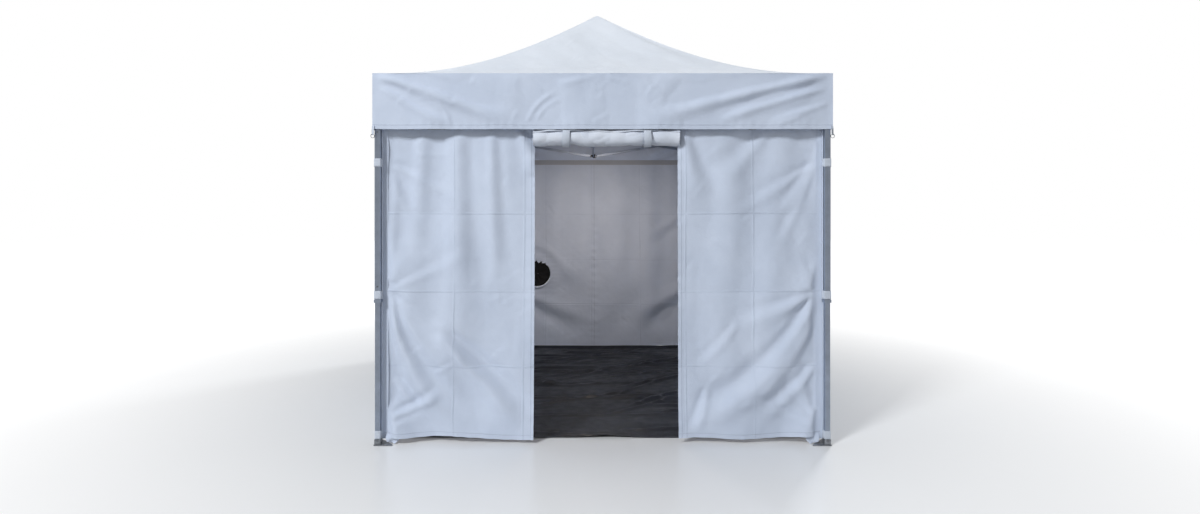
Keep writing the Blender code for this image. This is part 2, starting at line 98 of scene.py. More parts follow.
def moved(x, y, z, degrees=0.0, about="Z"):
    """A turn about an axis and then a move."""
    return Matrix.Translation((x, y, z)) @ Matrix.Rotation(math.radians(degrees), 4, about)


def on_wall(side):
    """Puts a piece made about Y = 0 on its side's wall."""
    return turn(side) @ moved(0, -WALL_PLANE, 0)


# Smooth repeatable irregularity


def waves(u, v, size, seed, count=14):
    """A smooth field of about unit height whose features are about `size` metres across."""
    rng = np.random.default_rng(seed)
    total = np.zeros_like(u)
    for _ in range(count):
        angle, phase = rng.uniform(0, 2 * np.pi, 2)
        rate = 2 * np.pi / (size * rng.uniform(0.7, 1.8))
        total += np.sin(rate * (u * np.cos(angle) + v * np.sin(angle)) + phase)
    return total / math.sqrt(count / 2) / 1.6


def rise(value):
    """A smooth step from 0 to 1 as value goes from 0 to 1."""
    t = np.clip(value, 0, 1)
    return t * t * (3 - 2 * t)


def fold(u, v, start, end, widths, height, bend=0.0):
    """A soft ridge from start to end, with a valley along its upper side; bend bows its line sideways."""
    (x0, z0), (x1, z1) = start, end
    length = math.hypot(x1 - x0, z1 - z0)
    ax, az = (x1 - x0) / length, (z1 - z0) / length
    t = ((u - x0) * ax + (v - z0) * az) / length
    d = (v - z0) * ax - (u - x0) * az - bend * 4 * t * (1 - t)
    d = d if ax >= 0 else -d
    width = widths[0] + (widths[1] - widths[0]) * np.clip(t, 0, 1)
    ends = rise(t / 0.18 + 0.15) * rise((1 - t) / 0.35 + 0.1)
    ridge = np.exp(-((d / width) ** 2)) - 0.8 * np.exp(-(((d - 1.7 * width) / width) ** 2))
    return height * ends * ridge


def crease(along, across, at, depth, width, seed, wander=0.004):
    """A packing crease: a sharp line across the cloth whose depth comes and goes along it."""
    strength = 0.55 + 0.45 * waves(along, along * 0, 0.9, seed)
    line = at + wander * waves(along, along * 0, 0.7, seed + 1)
    return -depth * np.clip(strength, 0.1, 1) * np.exp(-np.abs(across - line) / width)


def crumple(u, v, area, count, seed, height=0.0022, length=(0.06, 0.22), width=0.011):
    """Short sharp wrinkles scattered over an area, some of them meeting in a V."""
    rng = np.random.default_rng(seed)
    total = np.zeros_like(u)
    left, low, right, high = area
    for _ in range(count):
        x, z = rng.uniform(left, right), rng.uniform(low, high)
        angle = rng.choice([-1, 1]) * rng.uniform(0.4, 1.1)
        for branch in range(rng.integers(1, 3)):
            size = rng.uniform(*length)
            lean = angle + branch * rng.uniform(1.2, 1.9)
            end = (x + size * math.cos(lean), z + size * math.sin(lean))
            total += fold(u, v, (x, z), end, (width, width * 1.5), height * rng.uniform(0.5, 1))
    return total


def imprint(u, v, box, height):
    """The pressed outline of a pocket that lies behind the cloth."""
    left, low, right, high = box
    outside = np.maximum(np.abs(u - (left + right) / 2) - (right - left) / 2,
                         np.abs(v - (low + high) / 2) - (high - low) / 2)
    return height * np.exp(-((outside / 0.012) ** 2))


def pucker(along, distance, period, height, reach, seed):
    """Small gathers beside a line of stitching."""
    phase = 2 * np.pi * along / period + 1.7 * waves(along, along * 0, 0.35, seed)
    return height * np.sin(phase) * np.exp(-np.abs(distance) / reach)


# Materials

STITCH_PITCH, STITCH_HALF = 0.006, 0.0012
CREASE_HALF = 0.009


class Nodes:
    """Nodes of a material or a world. Texture coordinates are the piece's own cloth map or its place."""

    def __init__(self, owner, shader="Principled BSDF"):
        owner.use_nodes = True
        self.owner = owner
        self.tree = owner.node_tree
        self.shader = self.tree.nodes[shader]

    def feed(self, socket, value):
        if isinstance(value, bpy.types.NodeSocket):
            self.tree.links.new(value, socket)
        else:
            socket.default_value = value

    def set(self, made=None, **inputs):
        """Feeds a node's inputs, or the shader's."""
        for key, value in inputs.items():
            self.feed((made or self.shader).inputs[key.replace("_", " ")], value)

    def node(self, kind, **inputs):
        made = self.tree.nodes.new(kind)
        self.set(made, **inputs)
        return made

    def cloth_map(self):
        made = self.node("ShaderNodeUVMap")
        made.uv_map = "cloth"
        return made.outputs["UV"]

    def place(self):
        return self.node("ShaderNodeTexCoord").outputs["Object"]

    def parts(self, vector):
        return self.node("ShaderNodeSeparateXYZ", Vector=vector).outputs

    def math(self, operation, first, second=0.0):
        made = self.node("ShaderNodeMath")
        made.operation = operation
        for socket, value in zip(made.inputs, (first, second)):
            self.feed(socket, value)
        return made.outputs[0]

    def times(self, first, second):
        return self.math("MULTIPLY", first, second)

    def plus(self, first, second):
        return self.math("ADD", first, second)

    def minus(self, first, second):
        return self.math("SUBTRACT", first, second)

    def most(self, first, second):
        return self.math("MAXIMUM", first, second)

    def sine(self, value, period):
        return self.math("SINE", self.times(value, 2 * math.pi / period))

    def line(self, value, at, half):
        """1 where value is `at`, falling to 0 at `half` from it."""
        distance = self.math("ABSOLUTE", self.minus(value, at))
        return self.most(self.minus(1.0, self.math("DIVIDE", distance, half)), 0.0)

    def ramp(self, factor, stops):
        made = self.tree.nodes.new("ShaderNodeValToRGB")
        elements = made.color_ramp.elements
        while len(elements) < len(stops):
            elements.new(0.5)
        for element, (place, colour) in zip(elements, stops):
            element.position = place
            element.color = (*colour, 1)
        self.tree.links.new(factor, made.inputs[0])
        return made.outputs[0]

    def greys(self, factor, low, dark, high, light):
        """A ramp from one number at `low` to another at `high`."""
        return self.ramp(factor, [(low, (dark,) * 3), (high, (light,) * 3)])

    def noise(self, vector, scale, detail=4.0, roughness=0.55):
        made = self.node("ShaderNodeTexNoise", Vector=vector, Scale=scale, Detail=detail)
        self.set(made, Roughness=roughness)
        return made.outputs["Fac"]

    def scaled(self, vector, scale):
        return self.node("ShaderNodeMapping", Vector=vector, Scale=scale).outputs[0]

    def bump(self, height, strength, distance, normal=None):
        made = self.node("ShaderNodeBump", Height=height, Strength=strength, Distance=distance)
        if normal:
            self.feed(made.inputs["Normal"], normal)
        return made.outputs[0]


def weave(nodes, vector, pitch):
    """Height of a plain weave with a thread every `pitch` metres."""
    part = nodes.parts(vector)
    return nodes.times(nodes.sine(part[0], pitch), nodes.sine(part[1], pitch))


def seam_lines(nodes, place, seams):
    """Where the seams run, 0 to 1, and the stitches in them. A seam is (axis, place, its half width)."""
    part = nodes.parts(place)
    total = stitches = 0.0
    for axis, at, half in seams:
        total = nodes.most(nodes.line(part[axis], at, half), total)
        dashes = nodes.sine(part[1 - axis], STITCH_PITCH)
        stitches = nodes.most(nodes.times(nodes.line(part[axis], at, STITCH_HALF), dashes), stitches)
    return total, stitches


def crease_lines(nodes, place, creases):
    """Sharp packing creases, 0 to 1, that wander a little and come and go; the cloth is bumped and painted
    darker as shade along them. A crease is (axis, place).
    """
    part = nodes.parts(place)
    wander = nodes.times(nodes.minus(nodes.noise(place, 1.1, 2.0), 0.5), 0.030)
    total = 0.0
    for axis, at in creases:
        total = nodes.most(nodes.line(nodes.plus(part[axis], wander), at, CREASE_HALF), total)
    return nodes.times(total, nodes.greys(nodes.noise(place, 1.9, 3.0), 0.38, 0.25, 0.58, 1.0))


def cloth_material(name, dark, light, rough=0.62, pitch=0.0016, sheen=0.25, seams=(), creases=()):
    """Coated woven polyester: weave, fine crinkle, creases with painted shade along them, faint uneven tone,
    uneven gloss and stitched seams.
    """
    nodes = Nodes(bpy.data.materials.new(name))
    place = nodes.cloth_map()
    shade = nodes.noise(place, 2.3, 6.0, 0.6)
    nodes.set(Roughness=nodes.greys(nodes.noise(place, 9.0, 3.0), 0.3, rough - 0.10, 0.7, rough + 0.12))
    crinkle = nodes.noise(nodes.scaled(place, (1.0, 1.6, 1.0)), 14.0, 8.0, 0.62)
    normal = nodes.bump(crinkle, 0.35, 0.006)
    normal = nodes.bump(weave(nodes, place, pitch), 0.25, 0.0002, normal)
    if creases:
        pressed = crease_lines(nodes, place, creases)
        # painted shade: the colour is darkened along the creases, where shade falls in them
        shade = nodes.minus(shade, nodes.times(pressed, 0.22))
        normal = nodes.bump(pressed, 0.8, 0.0026, normal)
    if seams:
        line, stitches = seam_lines(nodes, place, seams)
        shade = nodes.minus(nodes.minus(shade, nodes.times(line, 0.35)), nodes.times(stitches, 0.3))
        normal = nodes.bump(line, 0.6, 0.002, normal)
        normal = nodes.bump(stitches, 0.5, 0.0006, normal)
    seam_shade = tuple(0.74 * c for c in dark)
    nodes.set(Base_Color=nodes.ramp(shade, [(0.02, seam_shade), (0.27, dark), (0.72, light)]))
    nodes.set(Normal=normal, Sheen_Weight=sheen, Sheen_Roughness=0.5, Specular_IOR_Level=0.35)
    return nodes.owner


def webbing_material(name, colour):
    """Woven strap: ribs across, a herringbone of threads and painted shade in the valleys between the ribs.
    """
    nodes = Nodes(bpy.data.materials.new(name))
    place = nodes.place()
    part = nodes.parts(place)
    thread = nodes.sine(nodes.plus(part[0], part[1]), 0.0021)
    height = nodes.plus(nodes.sine(part[2], 0.0028), nodes.times(thread, 0.6))
    # painted shade: the colour falls to this darker tone in the low valleys of the relief
    shade = tuple(0.82 * c for c in colour)
    relief = nodes.plus(nodes.times(height, 0.25), 0.5)
    nodes.set(Base_Color=nodes.ramp(relief, [(0.2, shade), (0.8, colour)]))
    nodes.set(Roughness=0.75, Sheen_Weight=0.3, Normal=nodes.bump(height, 0.5, 0.0004))
    return nodes.owner


def aluminium_material(name, tint, rough):
    """Anodised extrusion: lengthwise die lines, handling smudges and slight wear."""
    nodes = Nodes(bpy.data.materials.new(name))
    place = nodes.place()
    lines = nodes.noise(nodes.scaled(place, (420.0, 420.0, 3.0)), 1.0, 2.0)
    smudge = nodes.noise(place, 11.0, 6.0, 0.65)
    shade = tuple(0.74 * c for c in tint)
    nodes.set(Base_Color=nodes.ramp(smudge, [(0.3, shade), (0.7, tint)]), Metallic=0.85)
    spread = nodes.plus(nodes.times(lines, 0.5), nodes.times(smudge, 0.5))
    nodes.set(Roughness=nodes.greys(spread, 0.3, rough - 0.1, 0.75, rough + 0.15))
    nodes.set(Normal=nodes.bump(lines, 0.12, 0.0003))
    return nodes.owner


def plastic_material(name, colour, rough=0.5):
    """Moulded nylon: spark texture, paler scuffs and uneven gloss."""
    nodes = Nodes(bpy.data.materials.new(name))
    place = nodes.place()
    grain = nodes.noise(place, 1400.0, 3.0)
    scuff = nodes.noise(place, 45.0, 7.0, 0.7)
    worn = tuple(min(1.0, 2.4 * c + 0.01) for c in colour)
    nodes.set(Base_Color=nodes.ramp(scuff, [(0.45, colour), (0.85, worn)]))
    nodes.set(Roughness=nodes.greys(scuff, 0.3, rough, 0.8, rough + 0.2))
    nodes.set(Normal=nodes.bump(grain, 0.3, 0.0004))
    return nodes.owner


def steel_material(name):
    """Zinc-plated steel: cloudy spangle, dull scratches and dust."""
    nodes = Nodes(bpy.data.materials.new(name))
    place = nodes.place()
    cloud = nodes.noise(place, 38.0, 8.0, 0.7)
    nodes.set(Base_Color=nodes.ramp(cloud, [(0.3, (0.20, 0.21, 0.23)), (0.7, (0.46, 0.48, 0.51))]))
    nodes.set(Metallic=0.8, Roughness=nodes.greys(cloud, 0.3, 0.55, 0.7, 0.36))
    nodes.set(Normal=nodes.bump(nodes.noise(place, 260.0, 4.0), 0.2, 0.0005))
    return nodes.owner


def film_material(name):
    """Tinted flexible window film: khaki, slightly see-through, rippled gloss and haze."""
    nodes = Nodes(bpy.data.materials.new(name))
    place = nodes.cloth_map()
    haze = nodes.noise(place, 6.0, 6.0, 0.6)
    nodes.set(Base_Color=nodes.ramp(haze, [(0.3, (0.190, 0.185, 0.125)), (0.7, (0.270, 0.262, 0.190))]))
    nodes.set(Roughness=nodes.greys(haze, 0.3, 0.12, 0.7, 0.3))
    nodes.set(Normal=nodes.bump(nodes.noise(place, 8.0, 2.0), 0.25, 0.01))
    nodes.set(Alpha=0.88, IOR=1.5, Coat_Weight=0.3)
    return nodes.owner


WALL_DARK, WALL_LIGHT = (0.545, 0.615, 0.745), (0.635, 0.705, 0.835)
HEM = (1, WALL_BOTTOM + 0.030, 0.004)
WINDOW_SEAM = 0.475
PACK_CREASES = (0.50, 1.00, 1.52)  # heights of the creases from packing
PACK_UPRIGHTS = (-0.98, -0.52, 0.03, 0.55, 1.0)  # and places of the upright ones


def wall_cloth(name, *seams):
    """A wall's cloth, with its hem, its own seams and the packing creases."""
    creases = [(1, height) for height in PACK_CREASES] + [(0, place) for place in PACK_UPRIGHTS]
    return cloth_material(name, WALL_DARK, WALL_LIGHT, seams=(HEM, *seams), creases=creases)


MAT = {
    "front_wall": wall_cloth("front_wall_cloth", (0, DOOR[0] - 0.022, 0.004), (0, DOOR[1] + 0.022, 0.004)),
    "right_wall": wall_cloth("right_wall_cloth", (0, 0.0, 0.007)),
    "back_wall": wall_cloth("back_wall_cloth", (0, 0.0, 0.007)),
    "left_wall": wall_cloth("left_wall_cloth", (0, -WINDOW_SEAM, 0.006), (0, WINDOW_SEAM, 0.006)),
    "wall": cloth_material("wall_cloth", WALL_DARK, WALL_LIGHT),
    "valance": cloth_material("valance_cloth", WALL_DARK, WALL_LIGHT,
                              seams=((1, VALANCE_BOTTOM + 0.028, 0.004),)),
    "roof": cloth_material("roof_cloth", (0.70, 0.75, 0.82), (0.79, 0.835, 0.90),
                           seams=((1, -EAVE + 0.020, 0.005),)),
    "patch": cloth_material("patch_cloth", (0.68, 0.73, 0.80), (0.76, 0.81, 0.88),
                            seams=tuple((axis, at, 0.003) for axis in (0, 1) for at in (-0.078, 0.078))),
    "roll": cloth_material("roll_cloth", (0.60, 0.66, 0.77), (0.79, 0.83, 0.91), rough=0.30),
    "ground": cloth_material("ground_cloth", (0.0055, 0.007, 0.0115), (0.012, 0.015, 0.023),
                             rough=0.38, pitch=0.003, sheen=0.06),
    "webbing": webbing_material("webbing", (0.66, 0.72, 0.82)),
    "aluminium": aluminium_material("aluminium", (0.45, 0.51, 0.62), 0.38),
    "plastic": plastic_material("black_plastic", (0.012, 0.013, 0.016)),
    "steel": steel_material("zinc_steel"),
    "film": film_material("window_film"),
    "zip": webbing_material("zip_tape", (0.27, 0.30, 0.35)),
    "tape": cloth_material("loop_tape", (0.36, 0.38, 0.42), (0.44, 0.46, 0.50),
                           rough=0.85, pitch=0.0012, sheen=0.4),
    "inner": cloth_material("sleeve_inner_cloth", (0.56, 0.54, 0.55), (0.68, 0.66, 0.67), rough=0.7),
    # painted shade: near-black cloth across the sleeve's hole stands in for the dark seen through the open
    # sleeve
    "lining": cloth_material("duct_hole_painted_shade_cloth", (0.004, 0.004, 0.005), (0.010, 0.010, 0.011),
                             rough=0.8, sheen=0.05),
}


# Sheets


def lines(low, high, step, marks=()):
    """Places about `step` apart from low to high that also include the marks."""
    stops = sorted({low, high, *[m for m in marks if low < m < high]})
    places = [low]
    for a, b in zip(stops, stops[1:]):
        count = max(1, round((b - a) / step))
        places += [a + (b - a) * i / count for i in range(1, count + 1)]
    return np.array(places)


def mesh_from(bm, name):
    mesh = bpy.data.meshes.new(name)
    bm.to_mesh(mesh)
    bm.free()
    return mesh


def row_mesh(name, places, closed=False, flip=False):
    """A mesh over rows of places. Closed rows run all the way round, and flip turns the cells over."""
    rows, count = places.shape[:2]
    cells = []
    for j in range(rows - 1):
        for i in range(count if closed else count - 1):
            k = (i + 1) % count
            cell = (j * count + i, j * count + k, (j + 1) * count + k, (j + 1) * count + i)
            cells.append((cell[0], *cell[:0:-1]) if flip else cell)
    mesh = bpy.data.meshes.new(name)
    mesh.from_pydata(places.reshape(-1, 3).tolist(), [], cells)
    return mesh


def grid_mesh(name, xs, zs, keep=None):
    """A flat grid over (x, z) as mesh points (x, 0, z), without the cells that keep refuses."""
    bm = bmesh.new()
    points = [[bm.verts.new((x, 0, z)) for x in xs] for z in zs]
    for j in range(len(zs) - 1):
        for i in range(len(xs) - 1):
            if keep is None or keep((xs[i] + xs[i + 1]) / 2, (zs[j] + zs[j + 1]) / 2):
                bm.faces.new((points[j][i], points[j][i + 1], points[j + 1][i + 1], points[j + 1][i]))
    for vert in [v for v in bm.verts if not v.link_faces]:
        bm.verts.remove(vert)
    return mesh_from(bm, name)


def linked(name, mesh):
    obj = bpy.data.objects.new(name, mesh)
    bpy.context.scene.collection.objects.link(obj)
    return obj


def places_of(mesh):
    flat = np.empty(len(mesh.vertices) * 3)
    mesh.vertices.foreach_get("co", flat)
    return flat.reshape(-1, 3)


def set_places(mesh, places):
    mesh.vertices.foreach_set("co", np.ascontiguousarray(places, np.float32).ravel())
    mesh.update()


def settled(obj):
    """The object's mesh as its modifiers leave it."""
    graph = bpy.context.evaluated_depsgraph_get()
    return bpy.data.meshes.new_from_object(obj.evaluated_get(graph))


def smoother(mesh):
    """The mesh with every cell cut in four on a smooth surface that keeps its corners."""
    obj = linked("smoother", mesh)
    step = obj.modifiers.new("smooth", "SUBSURF")
    step.levels = step.render_levels = 1
    step.boundary_smooth = "PRESERVE_CORNERS"
    step.use_limit_surface = False
    made = settled(obj)
    bpy.data.objects.remove(obj)
    return made


def drape(mesh, held, slack, frames):
    """Hangs a flat sheet by simulation. held is each point's hold, 0 to 1, and slack its spare cloth."""
    obj = linked("drape", mesh.copy())
    group = obj.vertex_groups.new(name="held")
    for i in np.nonzero(held > 0)[0]:
        group.add([int(i)], float(held[i]), "REPLACE")
    cloth = obj.modifiers.new("cloth", "CLOTH")
    settings = cloth.settings
    settings.quality = 5
    settings.mass = 0.12
    settings.air_damping = 3.0
    settings.tension_stiffness = settings.compression_stiffness = 20.0
    settings.shear_stiffness = 12.0
    settings.bending_stiffness = 8.0
    settings.tension_damping = settings.compression_damping = 8.0
    settings.vertex_group_mass = "held"
    settings.shrink_min = -slack
    cloth.collision_settings.use_collision = False
    cloth.collision_settings.use_self_collision = False
    cloth.point_cache.frame_start = 1
    cloth.point_cache.frame_end = frames
    scene = bpy.context.scene
    for number in range(1, frames + 1):
        scene.frame_set(number)
    hung = places_of(settled(obj))
    scene.frame_set(1)
    bpy.data.objects.remove(obj)
    return hung


def smoothed(mesh, flat):
    """The hung mesh on a smooth surface, and where its new points lie on the flat cloth."""
    fine = smoother(mesh)
    set_places(mesh, flat)
    return fine, places_of(smoother(mesh))


def map_cloth(mesh, flat):
    """The cloth's own map: where each point lies on the flat cloth, in metres."""
    layer = mesh.uv_layers.new(name="cloth")
    corners = np.empty(len(mesh.loops), np.int32)
    mesh.loops.foreach_get("vertex_index", corners)
    layer.data.foreach_set("uv", np.ascontiguousarray(flat[corners], np.float32).ravel())


def map_round(mesh, around, along):
    """The cloth map of a tube whose rows lie `along` it, with points `around` each."""
    map_cloth(mesh, np.stack([np.tile(around, len(along)), np.repeat(along, len(around))], -1))


def finish_piece(name, mesh, material, body, placed=None):
    """A piece in place, shaded smooth, riding on its body."""
    mesh.name = name
    mesh.materials.clear()
    mesh.materials.append(MAT[material])
    mesh.shade_smooth()
    if placed is not None:
        mesh.transform(placed)
    obj = linked(name, mesh)
    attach(obj, body)
    return obj


def gather(obj):
    """Gives the piece its own copy of its mesh."""
    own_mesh(obj)


def side_piece(name, mesh, material, side, placed):
    """A piece that hangs from a side's upper connector, with its own mesh."""
    obj = finish_piece(name, mesh, material, f"{side}_mid_top", placed)
    gather(obj)
    return obj


def bent_grid(name, xs, zs, bend, flip=False):
    """A grid whose points lie bend(x, z) behind its plane, with its flat places as its map."""
    mesh = grid_mesh(name, xs, zs)
    flat = places_of(mesh)
    places = flat.copy()
    places[:, 1] = bend(flat[:, 0], flat[:, 2])
    set_places(mesh, places)
    if flip:
        mesh.flip_normals()
    map_cloth(mesh, flat[:, [0, 2]])
    return mesh


# Walls

STRAPS = (0.069, 0.990, 1.861)  # heights of the straps that tie each wall to the legs
FRONT_SEED = 11
FRONT_POCKET = (-1.22, 1.915, -1.02, 2.02)  # left, low, right and high of what shows through the front wall


def wall_hold(u, v):
    """Where a wall is held: along its top, at its straps and a little all along the corner zips."""
    top = v > WALL_TOP - 0.012
    edge = np.abs(u) > WALL_HALF - 0.004
    strap = edge & (np.min([np.abs(v - z) for z in STRAPS], axis=0) < 0.035)
    return np.where(top | strap, 1.0, np.where(edge, 0.25, 0.0))


def corner_folds(u, v, hand, seed):
    """Tension folds that fan out from the straps of one leg; hand is -1 or 1 for its side."""
    rng = np.random.default_rng(seed)
    x = hand * u
    edge = WALL_HALF - 0.02
    total = np.zeros_like(u)
    fans = ((STRAPS[2], 3, True), (STRAPS[1], 4, True), (STRAPS[1], 2, False), (STRAPS[0], 3, False))
    for strap, count, down in fans:
        for _ in range(count):
            angle = rng.uniform(0.35, 1.25) * (-1 if down else 1)
            length = rng.uniform(0.25, 0.7)
            end = (edge - length * math.cos(angle), strap + length * math.sin(angle))
            width = rng.uniform(0.02, 0.035)
            total += fold(x, v, (edge, strap), end, (0.012, width * 2), rng.uniform(0.004, 0.009))
    return total


def wall_relief(u, v, folds, seed):
    """How far each point of a wall stands out from its smooth hang."""
    out = np.zeros_like(u)
    for row in folds:
        out += fold(u, v, *row)
    out += corner_folds(u, v, -1, seed) + corner_folds(u, v, 1, seed + 1)
    for i, height in enumerate(PACK_CREASES):
        out += crease(u, v, height, 0.0045, 0.022, seed + 10 + i)
    for i, place in enumerate(PACK_UPRIGHTS):
        out += crease(v, u, place, 0.0030, 0.020, seed + 20 + i)
    out += 0.0085 * waves(u, v * 0.28, 0.50, seed + 42)
    out += 0.0050 * waves(u + 0.35 * v, v * 0.5, 0.30, seed + 43)
    out += crumple(u, v, (-1.35, 0.1, 1.35, 1.95), 40, seed + 30)
    if seed == FRONT_SEED:
        out += imprint(u, v, FRONT_POCKET, 0.0035)
        uneven = 0.6 + 0.4 * waves(v, v * 0, 0.4, seed + 46)
        for edge in DOOR[:2]:
            out += pucker(v, u - edge, 0.085, 0.0036, 0.030, seed + 45) * uneven
    out += 0.0020 * waves(u, v * 0.7, 0.30, seed + 40) + 0.0006 * waves(u, v, 0.09, seed + 41)
    for hand in (-1, 1):
        out += pucker(v, WALL_HALF - hand * u, 0.075, 0.006, 0.035, seed + 50 + hand)
    out += pucker(u, v - WALL_BOTTOM, 0.11, 0.0025, 0.03, seed + 60)
    return out


def level_hem(hung, flat, hem):
    """Lifts a hung wall so that its bottom ends `hem` above its flat place, and keeps its edges upright."""
    low = flat[:, 2] < WALL_BOTTOM + 0.01
    sunk = float(np.median(hung[low, 2] - flat[low, 2])) - hem
    hung[:, 2] -= sunk * (WALL_TOP - flat[:, 2]) / (WALL_TOP - WALL_BOTTOM)
    hung[:, 0] = flat[:, 0] + (hung[:, 0] - flat[:, 0]) * rise((WALL_HALF - np.abs(flat[:, 0])) / 0.12)
    hung[:, 1] = np.clip(hung[:, 1], -0.030, 0.060)
    return hung


def hung_wall(keep, marks, folds, seed, seams=(), snap=None, hem=0.0, beside=None):
    """A wall's final mesh. seams are upright seam lines that pucker, and beside is the way to its hole."""
    step = 0.030
    xs = lines(-WALL_HALF, WALL_HALF, step, marks[0])
    zs = lines(WALL_BOTTOM, WALL_TOP, step, marks[1])
    mesh = grid_mesh("wall", xs, zs, keep)
    flat = places_of(mesh)
    if snap:
        flat = snap(flat)
        set_places(mesh, flat)
    u, v = flat[:, 0], flat[:, 2]
    start = flat.copy()
    loose = rise((WALL_TOP - v) / 0.3) * rise((WALL_HALF - np.abs(u)) / 0.25)
    start[:, 1] += loose * 0.012 * waves(u * 1.6, v * 0.4, 0.6, seed)
    set_places(mesh, start)
    hung = drape(mesh, wall_hold(u, v), 0.006, 26)
    set_places(mesh, level_hem(hung, flat, hem))
    fine, flat = smoothed(mesh, flat)
    u, v = flat[:, 0], flat[:, 2]
    places = places_of(fine)
    calm = rise((WALL_TOP + 0.03 - v) / 0.16)
    out = wall_relief(u, v, folds, seed)
    for i, seam in enumerate(seams):
        out += pucker(v, u - seam, 0.09, 0.0035, 0.030, seed + 70 + i)
    near_leg = rise((WALL_HALF - 0.030 - np.abs(u)) / 0.07)
    places[:, 1] -= out * (0.35 + 0.65 * calm) * (0.06 + 0.94 * near_leg)
    places[:, 1] = np.clip(places[:, 1], -0.001 - 0.035 * near_leg, 0.004 + 0.066 * near_leg)
    if beside:
        away = rise(beside(u, v) / 0.13)
        places[:, 1] = places[:, 1] * away + (1 - away) * pucker(v, u * 0, 0.052, 0.0022, 1.0, seed + 95)
    near_hem = 1 - rise((v - WALL_BOTTOM) / 0.25)
    places[:, 2] += near_hem * 0.005 * waves(u, u * 0, 0.5, seed + 90)
    places[:, 2] = np.maximum(places[:, 2], 0.009)
    set_places(fine, places)
    map_cloth(fine, flat[:, [0, 2]])
    return fine


# Folds as the photo shows them: start, end, widths, height and bend
FRONT_FOLDS = [
    ((-1.43, 0.97), (-1.02, 0.10), (0.022, 0.080), 0.034, -0.05),
    ((-1.10, 0.72), (-0.52, 0.07), (0.034, 0.075), 0.032, 0.02),
    ((-1.38, 0.42), (-1.22, 0.20), (0.020, 0.032), 0.014),
    ((-1.40, 0.15), (-1.05, 0.33), (0.018, 0.034), 0.016, -0.02),
    ((-1.40, 1.20), (-1.37, 2.00), (0.022, 0.035), 0.010),
    ((-0.97, 2.13), (-0.95, 0.95), (0.045, 0.080), 0.014),
    ((-0.74, 2.13), (-0.71, 1.05), (0.030, 0.050), 0.010),
    ((-0.58, 2.10), (-0.46, 1.76), (0.022, 0.055), 0.022, 0.03),
    ((-1.18, 2.12), (-1.24, 1.20), (0.040, 0.055), 0.010),
    ((1.43, 0.97), (0.60, 0.08), (0.030, 0.085), 0.032, 0.11),
    ((1.41, 0.84), (0.95, 0.22), (0.020, 0.060), 0.016, 0.05),
    ((1.41, 0.50), (1.05, 0.13), (0.020, 0.050), 0.014, 0.02),
    ((0.70, 0.36), (0.61, 0.04), (0.018, 0.036), 0.012, 0.01),
    ((1.10, 2.12), (0.80, 1.72), (0.040, 0.070), 0.013, 0.03),
    ((0.54, 2.08), (0.70, 1.60), (0.030, 0.070), 0.014, -0.03),
    ((1.42, 1.85), (1.20, 1.50), (0.018, 0.045), 0.012),
    ((0.90, 0.80), (0.62, 0.48), (0.020, 0.036), 0.006, 0.02),
    ((-0.97, 0.52), (-1.12, 0.44), (0.012, 0.016), 0.005),
    ((-0.95, 0.55), (-0.80, 0.42), (0.012, 0.018), 0.006),
    ((0.60, 1.42), (0.80, 1.30), (0.014, 0.020), 0.005),
]
RIGHT_FOLDS = [
    ((-1.42, 1.90), (-0.70, 0.30), (0.030, 0.110), 0.026, -0.08),
    ((-1.42, 0.98), (-0.60, 0.12), (0.025, 0.090), 0.022, -0.05),
    ((-1.40, 1.70), (-1.18, 1.10), (0.018, 0.040), 0.012),
    ((1.42, 1.88), (0.50, 0.60), (0.030, 0.100), 0.016, 0.05),
    ((1.42, 0.98), (0.80, 0.10), (0.030, 0.080), 0.022, 0.06),
    ((0.30, 2.10), (0.10, 1.20), (0.040, 0.080), 0.012),
    ((-0.35, 2.10), (-0.25, 1.30), (0.040, 0.080), 0.010),
]
BACK_FOLDS = [
    ((-1.42, 0.98), (-0.50, 0.18), (0.030, 0.120), 0.028, -0.06),
    ((1.42, 1.88), (0.10, 0.50), (0.030, 0.120), 0.020, 0.06),
    ((1.42, 0.98), (0.10, 0.16), (0.030, 0.100), 0.024, 0.06),
    ((-1.42, 1.88), (-0.60, 1.10), (0.025, 0.080), 0.016, -0.04),
    ((0.10, 2.10), (-0.10, 0.40), (0.040, 0.090), 0.010),
]
LEFT_FOLDS = [
    ((1.42, 1.90), (1.10, 1.20), (0.020, 0.070), 0.020, 0.03),
    ((1.42, 0.98), (0.75, 0.12), (0.030, 0.100), 0.024, 0.05),
    ((1.40, 0.70), (1.00, 0.20), (0.020, 0.060), 0.016, 0.02),
    ((-1.42, 0.98), (-0.90, 0.12), (0.025, 0.080), 0.020, -0.04),
    ((-1.30, 2.10), (-1.28, 1.10), (0.030, 0.050), 0.008),
    ((-1.00, 2.10), (-0.98, 0.60), (0.030, 0.060), 0.009),
    ((-0.72, 2.10), (-0.70, 0.50), (0.025, 0.050), 0.008),
    ((0.95, 2.10), (0.80, 1.20), (0.035, 0.080), 0.010),
]


def in_door(x, z):
    return DOOR[0] < x < DOOR[1] and z < DOOR[2]


def in_window(x, z):
    return abs(x) < PANE_HALF and PANE_LOW.z < z < PANE_HIGH.z


def beside_window(x, z):
    """How far each point lies outside the window's film."""
    middle = (PANE_LOW.z + PANE_HIGH.z) / 2
    out_x = np.abs(x) - PANE_HALF
    out_z = np.abs(z - middle) - (PANE_HIGH.z - PANE_LOW.z) / 2
    return np.hypot(np.maximum(out_x, 0), np.maximum(out_z, 0))


def beside_duct(x, z):
    return np.maximum(np.hypot(x - DUCT_ALONG, z - DUCT_HEIGHT) - DUCT_FLANGE, 0)


def in_duct(x, z):
    return math.hypot(x - DUCT_ALONG, z - DUCT_HEIGHT) < DUCT_HOLE


